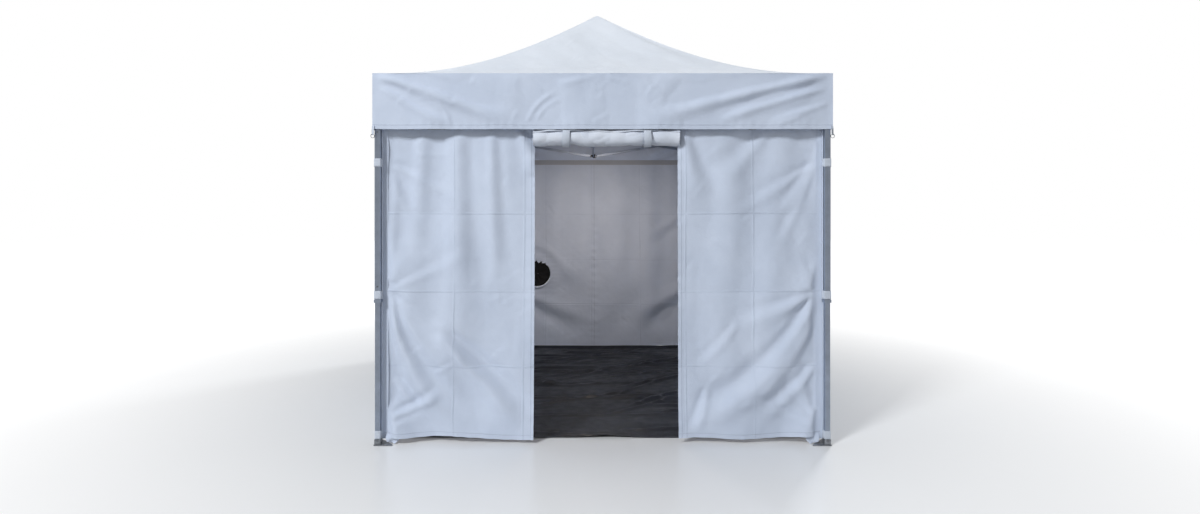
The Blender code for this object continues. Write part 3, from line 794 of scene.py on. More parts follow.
def round_duct(flat):
    """Moves the points beside the sleeve's hole onto its circle."""
    x, z = flat[:, 0] - DUCT_ALONG, flat[:, 2] - DUCT_HEIGHT
    reach = np.hypot(x, z)
    near = (reach < DUCT_HOLE + 0.016) & (reach > 0.02)
    scale = np.where(near, DUCT_HOLE / np.maximum(reach, 0.01), 1)
    rounded = flat.copy()
    rounded[:, 0] = DUCT_ALONG + x * scale
    rounded[:, 2] = DUCT_HEIGHT + z * scale
    return rounded


def wall(side, folds, seed, keep=None, marks=((), ()), hole=0.0, **more):
    """One hung wall; hole, the area cut out of it, is not used."""
    mesh = hung_wall(keep, marks, folds, seed, **more)
    obj = side_piece(f"{side}_wall_cloth", mesh, f"{side}_wall", side, on_wall(side))
    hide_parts(f"{side}_wall")


def make_top_tape(side):
    """The hook-and-loop tape sewn along the top of a wall's inside."""
    half, low, high = WALL_HALF - 0.02, WALL_TOP - 0.056, WALL_TOP - 0.004
    mesh = bent_grid("tape", lines(-half, half, 0.02), lines(low, high, 0.013),
                     lambda x, z: 0.010 + 0.0008 * waves(x, z, 0.2, 150 + SIDES[side]), flip=True)
    obj = side_piece(f"{side}_wall_tape", mesh, "tape", side, on_wall(side))


def outside_of(hole):
    return lambda x, z: not hole(x, z)


def make_walls():
    for side in SIDES:
        make_top_tape(side)
    wall("front", FRONT_FOLDS, FRONT_SEED, outside_of(in_door), ((DOOR[0], DOOR[1]), (DOOR[2],)),
         (DOOR[1] - DOOR[0]) * (DOOR[2] - WALL_BOTTOM), hem=0.014)
    wall("right", RIGHT_FOLDS, 211)
    wall("back", BACK_FOLDS, 311, outside_of(in_duct), hole=math.pi * DUCT_HOLE**2,
         seams=(0.0,), snap=round_duct, beside=beside_duct)
    wall("left", LEFT_FOLDS, 411, outside_of(in_window),
         ((-PANE_HALF, PANE_HALF), (PANE_LOW.z, PANE_HIGH.z)), 2 * PANE_HALF * (PANE_HIGH.z - PANE_LOW.z),
         seams=(-WINDOW_SEAM, WINDOW_SEAM), beside=beside_window)


# Roof and valance


def roof_height(share, across):
    """Height of the roof's cloth. share runs from the peak to the eave, across from rafter to rafter."""
    straight = EAVE_HEIGHT + (PEAK - 0.0005 - EAVE_HEIGHT) * (1 - share)
    hang = 4 * share * (1 - share) * (1 + ROOF_SKEW * (share - 0.5))
    return straight - ROOF_SAG * hang * (1 + ROOF_BELLY * (1 - across**2))


def roof_ripple(x, y, share, seed):
    """Unevenness of a roof panel, with the tension folds that start at its eave's corners."""
    ripple = 0.006 * waves(x, y, 0.55, seed) + 0.0022 * waves(x, y, 0.16, seed + 1)
    for hand in (-1, 1):
        for place, size in ((0.30, 0.008), (0.52, 0.007), (0.74, 0.005)):
            line = np.abs(hand * x - EAVE * (1 - place * 0.9 * (1 - share)) * share)
            ripple += size * np.exp(-((line / (0.02 + 0.06 * (1 - share))) ** 2)) * rise(share / 0.35)
    return ripple + crumple(x, y, (-1.0, -1.4, 1.0, -0.5), 16, seed + 2, height=0.0028)


def make_roof():
    rows, columns = ((64, 96))
    for index, side in enumerate(SIDES):
        share = np.linspace(0.004, 1, rows + 1)[:, None] + np.zeros(columns + 1)
        across = np.linspace(-1, 1, columns + 1)[None, :] + np.zeros((rows + 1, 1))
        x, y = across * share * EAVE, -share * EAVE
        middle = rise((1 - np.abs(across)) / 0.22) * rise((1 - share) / 0.12) * rise(share / 0.08)
        height = roof_height(share, across) + middle * roof_ripple(x, y, share, 600 + 10 * index)
        seam = np.abs(x) - share * EAVE
        height = height + 0.0022 * np.exp(-((seam / 0.010) ** 2))
        height = height - 0.004 * rise((share - 0.975) / 0.025)
        places = np.stack([x, y, height], -1)
        mesh = row_mesh("roof", places, flip=True)
        map_cloth(mesh, places.reshape(-1, 3)[:, :2])
        obj = finish_piece(f"roof_{side}_cloth", mesh, "roof", f"roof_{side}", turn(side))
        gather(obj)
        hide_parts(f"roof_{side}")


def make_peak_patch():
    """The square reinforcement sewn over the roof's peak, on the pole's cap."""
    size = 0.085
    mesh = grid_mesh("patch", lines(-size, size, 0.007), lines(-size, size, 0.007))
    flat = places_of(mesh)
    reach = np.maximum(np.abs(flat[:, 0]), np.abs(flat[:, 2]))
    share = np.maximum(reach, 0.012) / EAVE
    across = np.minimum(np.abs(flat[:, 0]), np.abs(flat[:, 2])) / np.maximum(reach, 0.012)
    height = roof_height(share, across) + 0.0035 + 0.0006 * waves(flat[:, 0], flat[:, 2], 0.05, 690)
    set_places(mesh, np.stack([flat[:, 0], flat[:, 2], height], -1))
    mesh.flip_normals()
    map_cloth(mesh, flat[:, [0, 2]])
    obj = finish_piece("roof_peak_patch", mesh, "patch", "peak_pole")


VALANCE_FOLDS = [
    ((-1.50, 2.44), (-0.60, 2.12), (0.026, 0.050), 0.030, 0.01),
    ((-1.46, 2.36), (-1.02, 2.10), (0.018, 0.035), 0.014, -0.01),
    ((1.50, 2.44), (0.30, 2.14), (0.024, 0.055), 0.028, -0.01),
    ((1.48, 2.35), (0.72, 2.12), (0.017, 0.036), 0.018, -0.01),
    ((1.48, 2.25), (1.08, 2.11), (0.014, 0.028), 0.010),
    ((1.30, 2.16), (1.12, 2.10), (0.010, 0.014), 0.006),
    ((-0.50, 2.12), (-0.30, 2.33), (0.011, 0.015), 0.009, 0.03),
    ((-0.44, 2.12), (-0.26, 2.28), (0.010, 0.013), 0.007, 0.03),
    ((-1.08, 2.25), (-1.00, 2.10), (0.010, 0.012), 0.007, 0.02),
    ((0.02, 2.43), (0.20, 2.36), (0.014, 0.020), 0.008),
    ((-0.05, 2.43), (-0.30, 2.37), (0.016, 0.024), 0.006),
]


def hung_valance(index, step, hem):
    """One side's valance, with folds as the photo shows them."""
    seed = 700 + 20 * index
    xs = lines(-EAVE, EAVE, step)
    zs = lines(VALANCE_BOTTOM, EAVE_HEIGHT - 0.0018, step, (VALANCE_BOTTOM + hem,))
    mesh = grid_mesh("valance", xs, zs)
    flat = places_of(mesh)
    u, v = flat[:, 0], flat[:, 2]
    start = flat.copy()
    loose = rise((VALANCE_TOP - v) / 0.1) * rise((EAVE - np.abs(u)) / 0.2)
    start[:, 1] += 0.005 * loose * waves(u, v * 2, 0.7, seed)
    set_places(mesh, start)
    held = np.where((v > VALANCE_TOP - 0.004) | (np.abs(u) > EAVE - 0.003), 1.0, 0.0)
    hung = drape(mesh, held, 0.002, 16)
    hung[:, 1] = np.clip(hung[:, 1], -0.022, 0.004)
    set_places(mesh, hung)
    fine, flat = smoothed(mesh, flat)
    u, v = flat[:, 0], flat[:, 2]
    places = places_of(fine)
    hand = 1 if index % 2 == 0 else -1
    rows = VALANCE_FOLDS if index == 0 else VALANCE_FOLDS[:5]
    out = sum(fold(hand * u, v, *row) for row in rows)
    area = (-1.4, 2.10, 1.4, 2.42)
    out += crumple(u, v, area, 30 + 9 * index, seed + 1, height=0.0030, length=(0.05, 0.19))
    out += 0.0012 * waves(u, v, 0.25, seed + 2) + 0.0045 * waves(u, v * 0.8, 0.42, seed + 4)
    out += pucker(u, v - VALANCE_BOTTOM - hem, 0.06, 0.0018, 0.015, seed + 3)
    inner = rise((EAVE - np.abs(u)) / 0.06) * rise((VALANCE_TOP - v + 0.01) / 0.05)
    places[:, 1] = np.clip(places[:, 1] - out * inner, -0.028, 0.0035)
    set_places(fine, places)
    map_cloth(fine, flat[:, [0, 2]])
    return fine


def make_valance():
    """Four lengths of valance that meet at the corners, each hung from the eave."""
    step = 0.027
    for index, side in enumerate(SIDES):
        mesh = hung_valance(index, step, 0.030)
        placed = turn(side) @ moved(0, -EAVE, 0)
        obj = side_piece(f"valance_{side}_cloth", mesh, "valance", side, placed)
        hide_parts("valance")


# Rolls


def spiral_mesh(width, turns, radii, inner, seed, wrinkle, steps, rings):
    """A sheet rolled round X. radii are its outer half sizes in Y and Z, inner its innermost share."""
    angle = np.linspace(0, 2 * np.pi * turns, int(turns * steps) + 1)
    share = inner + (1 - inner) * angle / angle[-1]
    pieces = np.hypot(np.diff(share * radii[1] * np.cos(angle)), np.diff(share * radii[0] * np.sin(angle)))
    length = np.concatenate([[0], np.cumsum(pieces)])
    x = np.linspace(-width / 2, width / 2, rings + 1)
    grid_x, grid_a = np.meshgrid(x, angle, indexing="ij")
    grid_s = np.broadcast_to(share, grid_x.shape)
    outer = rise((grid_s - inner) / (1 - inner) * 1.4 - 0.3)
    ripple = wrinkle * waves(grid_x, grid_a * 0.06, 0.13, seed)
    ripple = ripple + 0.8 * wrinkle * waves(grid_x, grid_a * 0.03, 0.4, seed + 1)
    scale = grid_s + outer * (ripple - 1.2 * wrinkle) / radii[1]
    telescope = 0.010 * waves(grid_a * 0.2, grid_x * 0, 0.5, seed + 2) * np.abs(grid_x) / (width / 2)
    y = -radii[0] * scale * np.sin(grid_a + 0.9)
    z = radii[1] * scale * np.cos(grid_a + 0.9)
    mesh = row_mesh("roll", np.stack([grid_x + telescope * np.sign(grid_x), y, z], -1))
    flat = np.stack([grid_x, np.broadcast_to(length, grid_x.shape)], -1).reshape(-1, 2)
    map_cloth(mesh, flat)
    return mesh, float(length[-1])


def bevelled(holder, thick):
    """The holder's final mesh with its edges softened."""
    soft = holder.modifiers.new("edge", "BEVEL")
    soft.width = thick * 0.3
    soft.segments = 2
    soft.limit_method = "ANGLE"
    made = settled(holder)
    bpy.data.objects.remove(holder)
    return made


def band(points, width):
    """A strap of the given width along X whose middle line runs through (y, z) points."""
    line = np.array(points, float)
    ahead = np.gradient(line, axis=0)
    ahead /= np.linalg.norm(ahead, axis=1)[:, None]
    side = np.stack([-ahead[:, 1], ahead[:, 0]], 1) * STRAP_THICK / 2
    bm = bmesh.new()
    rings = []
    for middle, out in zip(line, side):
        corners = [(-width / 2, *middle + out), (width / 2, *middle + out),
                   (width / 2, *middle - out), (-width / 2, *middle - out)]
        rings.append([bm.verts.new(corner) for corner in corners])
    for a, b in zip(rings, rings[1:]):
        for k in range(4):
            bm.faces.new((a[k], a[(k + 1) % 4], b[(k + 1) % 4], b[k]))
    bm.faces.new(rings[0])
    bm.faces.new(reversed(rings[-1]))
    bmesh.ops.recalc_face_normals(bm, faces=bm.faces)
    return bevelled(linked("strap", mesh_from(bm, "strap")), STRAP_THICK)


def loop_points(centre, radius, start, end, count=40):
    angles = np.radians(np.linspace(start, end, count))
    return [(centre[0] - radius * math.sin(a), centre[1] + radius * math.cos(a)) for a in angles]


DOOR_STRAPS = (-0.24, 0.295)  # places along the roll
STRAP_THICK = 0.0022
DOOR_STRAP_WIDTH, WINDOW_STRAP_WIDTH = 0.048, 0.040


def make_door_roll():
    """The door panel rolled up over the opening, held by two straps from the wall's top."""
    width = ROLL_HIGH.x - ROLL_LOW.x + 0.006
    radius = ROLL_RADIUS
    steps, rings = ((30, 72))
    mesh, length = spiral_mesh(width, 8, (radius * 0.96, radius), 0.35, 801, 0.0042, steps, rings)
    places = places_of(mesh)
    x = places[:, 0]
    for strap in DOOR_STRAPS:
        pinch = 1 - 0.05 * np.exp(-(((x + ROLL_CENTRE.x - strap) / 0.045) ** 2))
        places[:, 1:] *= pinch[:, None]
    places[:, 2] += -0.004 * np.cos(2 * np.pi * (x - 0.03) / 0.53) - 0.003
    set_places(mesh, places)
    obj = side_piece("door_roll_cloth", mesh, "roll", "front", Matrix.Translation(ROLL_CENTRE))
    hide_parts("door_roll")
    for index, strap in enumerate(DOOR_STRAPS):
        middle = (ROLL_CENTRE.y, ROLL_CENTRE.z - 0.002)
        route = [(middle[0] + radius * 0.5, WALL_TOP - 0.008), (middle[0] + radius * 0.2, WALL_TOP - 0.020)]
        route += loop_points(middle, radius * 0.985, 12, 340)
        placed = moved(strap, 0, ROLL_CENTRE.z, 3 - 6 * index, "Y") @ moved(0, 0, -ROLL_CENTRE.z)
        piece = band(route, DOOR_STRAP_WIDTH)
        side_piece(f"door_strap_{index + 1}", piece, "webbing", "front", placed)


# Window

FILM_LAP = 0.012  # how far the film reaches under its border
BORDER_WIDTH, BORDER_LAP = 0.016, 0.003
COVER_WIDTH = 0.655
COVER_HALF_HEIGHT = 0.062


def make_window():
    mesh = bent_grid("pane", lines(-PANE_HALF - FILM_LAP, PANE_HALF + FILM_LAP, 0.03),
                     lines(PANE_LOW.z - FILM_LAP, PANE_HIGH.z + FILM_LAP, 0.03),
                     lambda x, z: 0.004 + 0.0025 * waves(x, z, 0.25, 901))
    pane = side_piece("window_film_sheet", mesh, "film", "left", on_wall("left"))
    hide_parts("window_pane")
    make_window_cover()
    make_window_border()


def make_window_cover():
    """The cover rolled up above the window, held by two straps from the wall's top."""
    depth = (-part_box("left_wall")[0].x - WALL_PLANE) / 2
    steps, rings = ((34, 56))
    radii = (depth * 0.92, COVER_HALF_HEIGHT)
    mesh, length = spiral_mesh(COVER_WIDTH, 2.6, radii, 0.30, 911, 0.0035, steps, rings)
    centre = (0, -WALL_PLANE - depth, PANE_HIGH.z + COVER_HALF_HEIGHT + 0.004)
    cover = side_piece("window_cover", mesh, "wall", "left", turn("left") @ moved(*centre))
    for index, place in enumerate((-0.285, 0.265)):
        mesh = window_strap(centre[2])
        placed = turn("left") @ moved(place, 0, 0)
        side_piece(f"window_strap_{index + 1}", mesh, "webbing", "left", placed)


def window_strap(roll_height):
    """A strap that hangs from the wall's top in a slack curve and ends under the roll."""
    top = WALL_TOP - 0.040
    wall_face = -WALL_PLANE - 0.005
    drop = top - roll_height - 0.02
    hang = [(0, 0), (0.004, 0.10), (0.008, 0.35), (0.010, 0.60),
            (0.014, 0.80), (0.022, 0.92), (0.030, 1), (0.020, 1.06)]
    route = [(wall_face - out, top - share * drop) for out, share in hang]
    smooth = [tuple(np.interp(t, range(len(route)), column) for column in zip(*route))
              for t in np.linspace(0, len(route) - 1, 36)]
    mesh = band(smooth, WINDOW_STRAP_WIDTH)
    places = places_of(mesh)
    down = np.clip((top - places[:, 2]) / drop, 0, 1.1)
    places[:, 0] += 0.034 - 0.085 * rise(down / 0.5) + 0.075 * rise((down - 0.62) / 0.42)
    set_places(mesh, places)
    return mesh


def make_window_border():
    """The strips of wall cloth sewn over three edges of the film."""
    low, out, lap = PANE_LOW.z - BORDER_WIDTH, PANE_HALF + BORDER_WIDTH, PANE_HALF - BORDER_LAP
    for name, box in (
        ("left", (-out, low, -lap, PANE_HIGH.z)),
        ("right", (lap, low, out, PANE_HIGH.z)),
        ("bottom", (-PANE_HALF, low, PANE_HALF, PANE_LOW.z + BORDER_LAP)),
    ):
        mesh = bent_grid("border", lines(box[0], box[2], 0.02), lines(box[1], box[3], 0.02),
                         lambda x, z: -0.004 + 0.0015 * waves(x, z, 0.09, 921))
        piece = side_piece(f"window_border_{name}", mesh, "wall", "left", on_wall("left"))


# Duct sleeve


SLEEVE_FOLDS = [
    ((-0.34, 0.02), (-0.20, 0.24), (0.020, 0.034), 0.020),
    ((-0.12, 0.03), (-0.26, 0.22), (0.014, 0.024), 0.012),
    ((0.12, 0.00), (0.06, 0.25), (0.022, 0.030), 0.017),
    ((0.20, 0.10), (0.34, 0.25), (0.014, 0.022), 0.012),
    ((0.40, 0.03), (0.31, 0.20), (0.018, 0.028), 0.014),
    ((-0.02, 0.14), (-0.10, 0.25), (0.012, 0.018), 0.010),
    ((0.26, 0.02), (0.16, 0.12), (0.013, 0.020), 0.009),
]
SLEEVE_NECK = 0.84  # where the drawstring runs, as a share of the length


def sleeve_shape(share, angle, length):
    """The sleeve's (along, out, height) at shares of its length; the angle starts at its underside."""
    arc = (angle - np.pi) * 0.155
    radius = 0.158 + 0.018 * np.sin(np.pi * np.clip(share / 0.85, 0, 1)) - 0.006 * rise(share / 0.8)
    radius = radius - 0.014 * np.exp(-(((share - SLEEVE_NECK) / 0.05) ** 2))
    radius = radius + 0.006 * rise((share - SLEEVE_NECK) / 0.16)
    start = rise(share / 0.12)
    for row in SLEEVE_FOLDS:
        radius = radius + start * fold(arc, share * length, *row)
    ruffle = rise((share - 0.70) / 0.25)
    lobes = 0.0045 * np.sin(11 * angle + 2.6 * np.sin(2 * angle))
    lobes = lobes + 0.0025 * np.sin(27 * angle + 3 * np.sin(3 * angle))
    radius = radius + ruffle * (lobes + 0.010 * waves(arc, share * 0, 0.16, 1002))
    radius = radius + start * 0.005 * waves(arc, share * length, 0.12, 1001)
    up = -np.cos(angle)
    radius = radius * (1 - 0.13 * rise(share) * np.clip(up, 0, 1))
    along = DUCT_ALONG + radius * np.sin(angle)
    height = DUCT_HEIGHT - 0.050 * share**2 + radius * up
    ragged = 0.016 * rise((share - 0.75) / 0.25) * waves(arc, share * 0, 0.10, 1003)
    out = WALL_PLANE + 0.003 + length * share * (1 - 0.07 * (1 + up)) + ragged
    return along, out, height


def make_sleeve():
    """A fabric tube on the back wall, gathered near its mouth by a drawstring, that droops."""
    steps, around = ((44, 168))
    share = np.linspace(0, 1, steps + 1)[:, None] + np.zeros(around)
    angle = np.linspace(0, 2 * np.pi, around, endpoint=False)[None, :] + np.zeros((steps + 1, 1))
    length = DUCT_HIGH.y - WALL_PLANE - 0.012
    along, out, height = sleeve_shape(share, angle, length)
    places = np.stack([along, -out, height], -1)
    edge = DUCT_FLANGE - 0.004
    flange = np.stack([DUCT_ALONG + edge * np.sin(angle[0]), 0 * angle[0] - WALL_PLANE - 0.003,
                       DUCT_HEIGHT - edge * np.cos(angle[0])], -1)
    mesh = row_mesh("sleeve", np.concatenate([flange[None], places]), closed=True)
    mesh.flip_normals()
    map_round(mesh, angle[0] * 0.16, np.concatenate([[-0.02], share[:, 0] * length]))
    obj = side_piece("duct_sleeve_cloth", mesh, "wall", "back", turn("back"))
    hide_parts("duct_sleeve")
    string = make_drawstring(places[round(SLEEVE_NECK * steps)])
    make_lining(places)
    make_duct_hole_painted_shade()
    make_hole_rim()


def make_drawstring(loop):
    """The string in the sleeve's hem and its two ends."""
    centre = loop.mean(0)
    loop = centre + (loop - centre) * 1.016
    knot = loop[len(loop) // 12]
    tail = [knot + np.array(d) for d in ((0, 0, 0), (0.006, -0.010, -0.012), (0.010, -0.012, -0.034),
                                         (0.004, -0.008, -0.058), (0.008, -0.004, -0.080))]
    pieces = []
    for name, route, closed in (("drawstring", loop, True), ("drawstring_tail", tail, False)):
        piece = tube(name, [turn("back") @ Vector(p) for p in route], 0.0032, closed)
        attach(piece, "back_mid_top")
        gather(piece)
        pieces.append(piece)
    return pieces


def make_lining(places):
    """The sleeve's grey inner side, from the wall to the mouth's edge."""
    rows, around = places.shape[:2]
    middle = places.mean(1, keepdims=True)
    inner = middle + (places - middle) * 0.975
    inner[..., 1] = places[..., 1]
    inner[0, :, 1] = -WALL_PLANE + 0.001
    inner[-1] = middle[-1] + (places[-1] - middle[-1]) * 0.996
    mesh = row_mesh("lining", inner, closed=True)
    map_round(mesh, np.linspace(0, 0.95, around), np.linspace(0, 0.25, rows))
    obj = side_piece("duct_sleeve_lining", mesh, "inner", "back", turn("back"))


def make_duct_hole_painted_shade():
    """A near-black sheet across the sleeve's hole at the wall, puckered towards its middle: painted shade
    that stands in for the dark seen through the open hole.
    """
    around, rings = 96, 14
    angle = np.linspace(0, 2 * np.pi, around, endpoint=False)[None, :] + np.zeros((rings, 1))
    reach = np.linspace(0.004, 1, rings)[:, None] + np.zeros(around)
    radius = (DUCT_HOLE - 0.004) * reach
    x, z = radius * np.sin(angle), -radius * np.cos(angle)
    gathers = 0.003 * np.sin(9 * angle + 5 * reach) * reach * (1 - reach) * 4
    out = -WALL_PLANE + 0.004 - 0.016 * (1 - reach**2) + gathers + 0.002 * waves(x, z, 0.07, 1005)
    mesh = row_mesh("flap", np.stack([DUCT_ALONG + x, out, DUCT_HEIGHT + z], -1), closed=True)
    map_cloth(mesh, np.stack([x, z], -1).reshape(-1, 2))
    obj = side_piece("duct_hole_painted_shade", mesh, "lining", "back", turn("back"))


def make_hole_rim():
    """The rolled edge of the sleeve's hole on the inside of the wall, with a crumpled lip at its top."""
    around, steps = 96, 8
    a = np.linspace(0, 2 * np.pi, around, endpoint=False)
    top = np.clip(np.sin(a), 0, 1) ** 3
    rings = []
    for k, roll in enumerate(np.linspace(0, np.pi * 1.1, steps)):
        reach = DUCT_HOLE + 0.010 - 0.013 * math.sin(roll)
        depth = 0.006 - 0.006 * math.cos(roll)
        lip = top * 0.055 * (k / steps) * (0.6 + 0.4 * np.sin(13 * a + 2 * np.sin(3 * a)))
        radius = reach + 0.012 * (k == 0) - lip + 0.0016 * np.sin(31 * a)
        y = -WALL_PLANE + 0.004 + depth + 0.004 * top * np.sin(17 * a + k)
        rings.append(np.stack([DUCT_ALONG + radius * np.cos(a), y, DUCT_HEIGHT + radius * np.sin(a)], -1))
    mesh = row_mesh("rim", np.array(rings), closed=True, flip=True)
    map_round(mesh, a * DUCT_HOLE, np.linspace(0, 0.05, steps))
    obj = side_piece("duct_hole_rim", mesh, "wall", "back", turn("back"))


def tube(name, points, radius, closed=False, material="webbing"):
    """A round cord through the points, as a mesh."""
    curve = bpy.data.curves.new(name, "CURVE")
    curve.dimensions = "3D"
    curve.bevel_depth = radius
    curve.bevel_resolution = 3
    curve.use_fill_caps = not closed
    spline = curve.splines.new("POLY")
    spline.points.add(len(points) - 1)
    for point, place in zip(spline.points, points):
        point.co = (*place, 1)
    spline.use_cyclic_u = closed
    holder = linked(name, curve)
    mesh = settled(holder)
    bpy.data.objects.remove(holder)
    mesh.materials.clear()
    mesh.materials.append(MAT[material])
    mesh.shade_smooth()
    return linked(name, mesh)


# Groundsheet


def make_groundsheet():
    step = 0.018
    xs, ys = (lines(SHEET_LOW[axis], SHEET_HIGH[axis], step) for axis in (0, 1))
    mesh = grid_mesh("ground", xs, ys)
    flat = places_of(mesh)
    u, v = flat[:, 0], flat[:, 2]
    height = 0.004 + 0.003 * waves(u * 0.5, v, 0.35, 1101) + 0.0010 * waves(u, v, 0.1, 1102)
    rng = np.random.default_rng(1103)
    for row in range(46):
        x, y = rng.uniform(-1.4, 0.9), rng.uniform(-1.32, 1.38)
        length = rng.uniform(0.5, 2.0)
        lean = rng.normal(0, 0.07) if row % 3 else rng.normal(0.40, 0.2)
        end = (x + length * math.cos(lean), y + length * math.sin(lean))
        size = rng.uniform(0.012, 0.024)
        depth, bend = rng.uniform(0.008, 0.018), rng.normal(0, 0.04)
        height += fold(u, v, (x, y), end, (size, size * 1.3), depth, bend)
    rim = np.maximum(np.maximum(np.abs(u) - (SHEET_HIGH.x - 0.03), v - (SHEET_HIGH.y - 0.03)), 0) / 0.03
    height = np.clip(height + 0.002, 0.0008, 0.024) * (1 - 0.7 * rim) + 0.030 * rim**2
    u = u * (1 + 0.008 * (np.abs(u) > SHEET_HIGH.x - 0.001))
    places = np.stack([u, v + 0.012 * (v > SHEET_HIGH.y - 0.001), height], -1)
    set_places(mesh, places)
    mesh.flip_normals()
    map_cloth(mesh, places[:, :2])
    obj = finish_piece("groundsheet_cloth", mesh, "ground", "hub")
    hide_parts("groundsheet")
    size = (SHEET_HIGH.x - SHEET_LOW.x, SHEET_HIGH.y - SHEET_LOW.y)


# Straps, tabs, rings, zips and bolts on the legs


def tube_outline(half):
    """The corners of a square tube, rounded, as (x, y) places all round."""
    rounded = 0.004
    outline = []
    for quarter in range(4):
        spin = Matrix.Rotation(math.radians(90 * quarter), 2)
        corner = spin @ Vector((half - rounded, half - rounded))
        for step in range(5):
            angle = math.radians(90 * quarter + 22.5 * step)
            outline.append((corner.x + rounded * math.cos(angle), corner.y + rounded * math.sin(angle)))
    return outline


def ring_band(half, height, thick, seed):
    """A webbing loop round a square tube, with slightly uneven edges."""
    outline = tube_outline(half)
    levels = 7
    bm = bmesh.new()
    shells = []
    for grow in (1, 1 + thick / half):
        rows = []
        for level in range(levels):
            z = height * (level / (levels - 1) - 0.5)
            swell = 1 + 0.010 * math.sin(3.1 * level + seed)
            rows.append([bm.verts.new((x * grow * swell, y * grow * swell, z)) for x, y in outline])
        shells.append(rows)
    inner, outer = shells
    joined = [*zip(inner, inner[1:]), *zip(outer, outer[1:]), (inner[0], outer[0]), (inner[-1], outer[-1])]
    for a, b in joined:
        for i in range(len(outline)):
            j = (i + 1) % len(outline)
            bm.faces.new((a[i], a[j], b[j], b[i]))
    bmesh.ops.recalc_face_normals(bm, faces=bm.faces)
    return mesh_from(bm, "strap")


def patch(width, height, thick, seed, curl):
    """A small piece of doubled webbing, upright, about its top edge's middle, outside facing -Y."""
    mesh = grid_mesh("patch", lines(-width / 2, width / 2, width / 6), lines(-height, 0, height / 8))
    places = places_of(mesh)
    share = -places[:, 2] / height
    places[:, 1] = -curl * share**2 + 0.0006 * np.sin(9 * share + seed)
    set_places(mesh, places)
    holder = linked("patch", mesh)
    shell = holder.modifiers.new("cloth", "SOLIDIFY")
    shell.thickness = thick
    shell.offset = 0
    return bevelled(holder, thick)


def turned_mesh(profile, sides):
    """A solid of revolution about Z from (radius, height) points, outside from top to bottom."""
    bm = bmesh.new()
    rows = []
    for radius, height in profile:
        rows.append([bm.verts.new((radius * math.cos(a), radius * math.sin(a), height))
                     for a in np.linspace(0, 2 * math.pi, sides, endpoint=False)])
    for a, b in zip(rows, rows[1:]):
        for i in range(sides):
            j = (i + 1) % sides
            bm.faces.new((a[i], b[i], b[j], a[j]))
    bmesh.ops.remove_doubles(bm, verts=bm.verts, dist=1e-6)
    bmesh.ops.recalc_face_normals(bm, faces=bm.faces)
    return mesh_from(bm, "turned")


def torus_mesh(radius, thick):
    steps = np.linspace(0, 2 * math.pi, 28, endpoint=False)
    route = [(radius * math.cos(a), 0, radius * math.sin(a)) for a in steps]
    holder = tube("ring", route, thick, closed=True, material="steel")
    mesh = holder.data
    bpy.data.objects.remove(holder)
    return mesh


def bolt_mesh(radius, head):
    """A domed screw head about Z with a washer under it."""
    washer = radius * 1.45
    return turned_mesh([(0.0, head), (radius * 0.55, head * 0.92), (radius * 0.85, head * 0.7),
                        (radius, head * 0.25), (washer, head * 0.22), (washer, 0), (0.0, 0)], 24)


STRAP_HEIGHT = 0.054
FLAP_REACH = 0.034  # how far the corner flap reaches along each wall
TAB_OUT, RING_OUT, ZIP_IN = 0.0265, 0.0285, 0.0350  # from the leg's axis along X and along Y


def upright(obj):
    """Gives the piece its own copy of its mesh."""
    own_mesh(obj)


def make_leg_trim():
    """Straps, tabs, rings, zips and bolts. Each is made for the front-left leg and turned to its own."""
    for index, (corner, (x, y)) in enumerate(CORNERS.items()):
        axis = moved(x * LEG_AXIS, y * LEG_AXIS, 0, 90 * index)
        make_leg_straps(corner, axis, index)
        make_valance_tab(corner, axis, index)
        make_corner_zip(corner, axis, index)
        make_bolts(corner, axis)
        make_corner_tab(corner, x, y, index)


def make_leg_straps(corner, axis, index):
    """The three straps that tie the walls' edges to a leg, the lowest round the lower leg."""
    for level, height in enumerate(STRAPS):
        half, body = (UPPER_HALF, f"upper_leg_{corner}") if level else (LOWER_HALF, f"lower_leg_{corner}")
        mesh = ring_band(half + 0.0008, STRAP_HEIGHT, 0.0018, index + level)
        placed = axis @ moved(0, 0, height)
        strap = finish_piece(f"leg_strap_{corner}_{level + 1}", mesh, "webbing", body, placed)
        if level == 1:
            upright(strap)
        if level == 0:
            upright(strap)


def make_valance_tab(corner, axis, index):
    """The valance's corner tab and its ring, on the leg's outer corner."""
    upper = f"upper_leg_{corner}"
    tab = patch(0.030, 0.062, 0.0024, index, 0.003)
    placed = axis @ moved(-TAB_OUT, -TAB_OUT, VALANCE_BOTTOM + 0.022, -45)
    finish_piece(f"valance_tab_{corner}", tab, "webbing", upper, placed)
    ring = torus_mesh(0.0125, 0.0016)
    placed = axis @ moved(-RING_OUT, -RING_OUT, VALANCE_BOTTOM - 0.046, 45)
    finish_piece(f"valance_ring_{corner}", ring, "steel", upper, placed)


def make_corner_zip(corner, axis, index):
    """The zip between two walls, the flap over it and the strip round the leg's inner corner."""
    upper = f"upper_leg_{corner}"
    placed = axis @ moved(ZIP_IN, ZIP_IN, 0, -45)
    teeth = finish_piece(f"corner_zip_{corner}", zip_mesh(), "zip", upper, placed)
    wings, wraps = flap_profiles(index)
    flap = finish_piece(f"corner_flap_{corner}", strip_mesh(wings), "wall", upper, axis)
    wrap = finish_piece(f"corner_wrap_{corner}", strip_mesh(wraps), "wall", upper, axis)
    for piece in (teeth, flap, wrap):
        upright(piece)


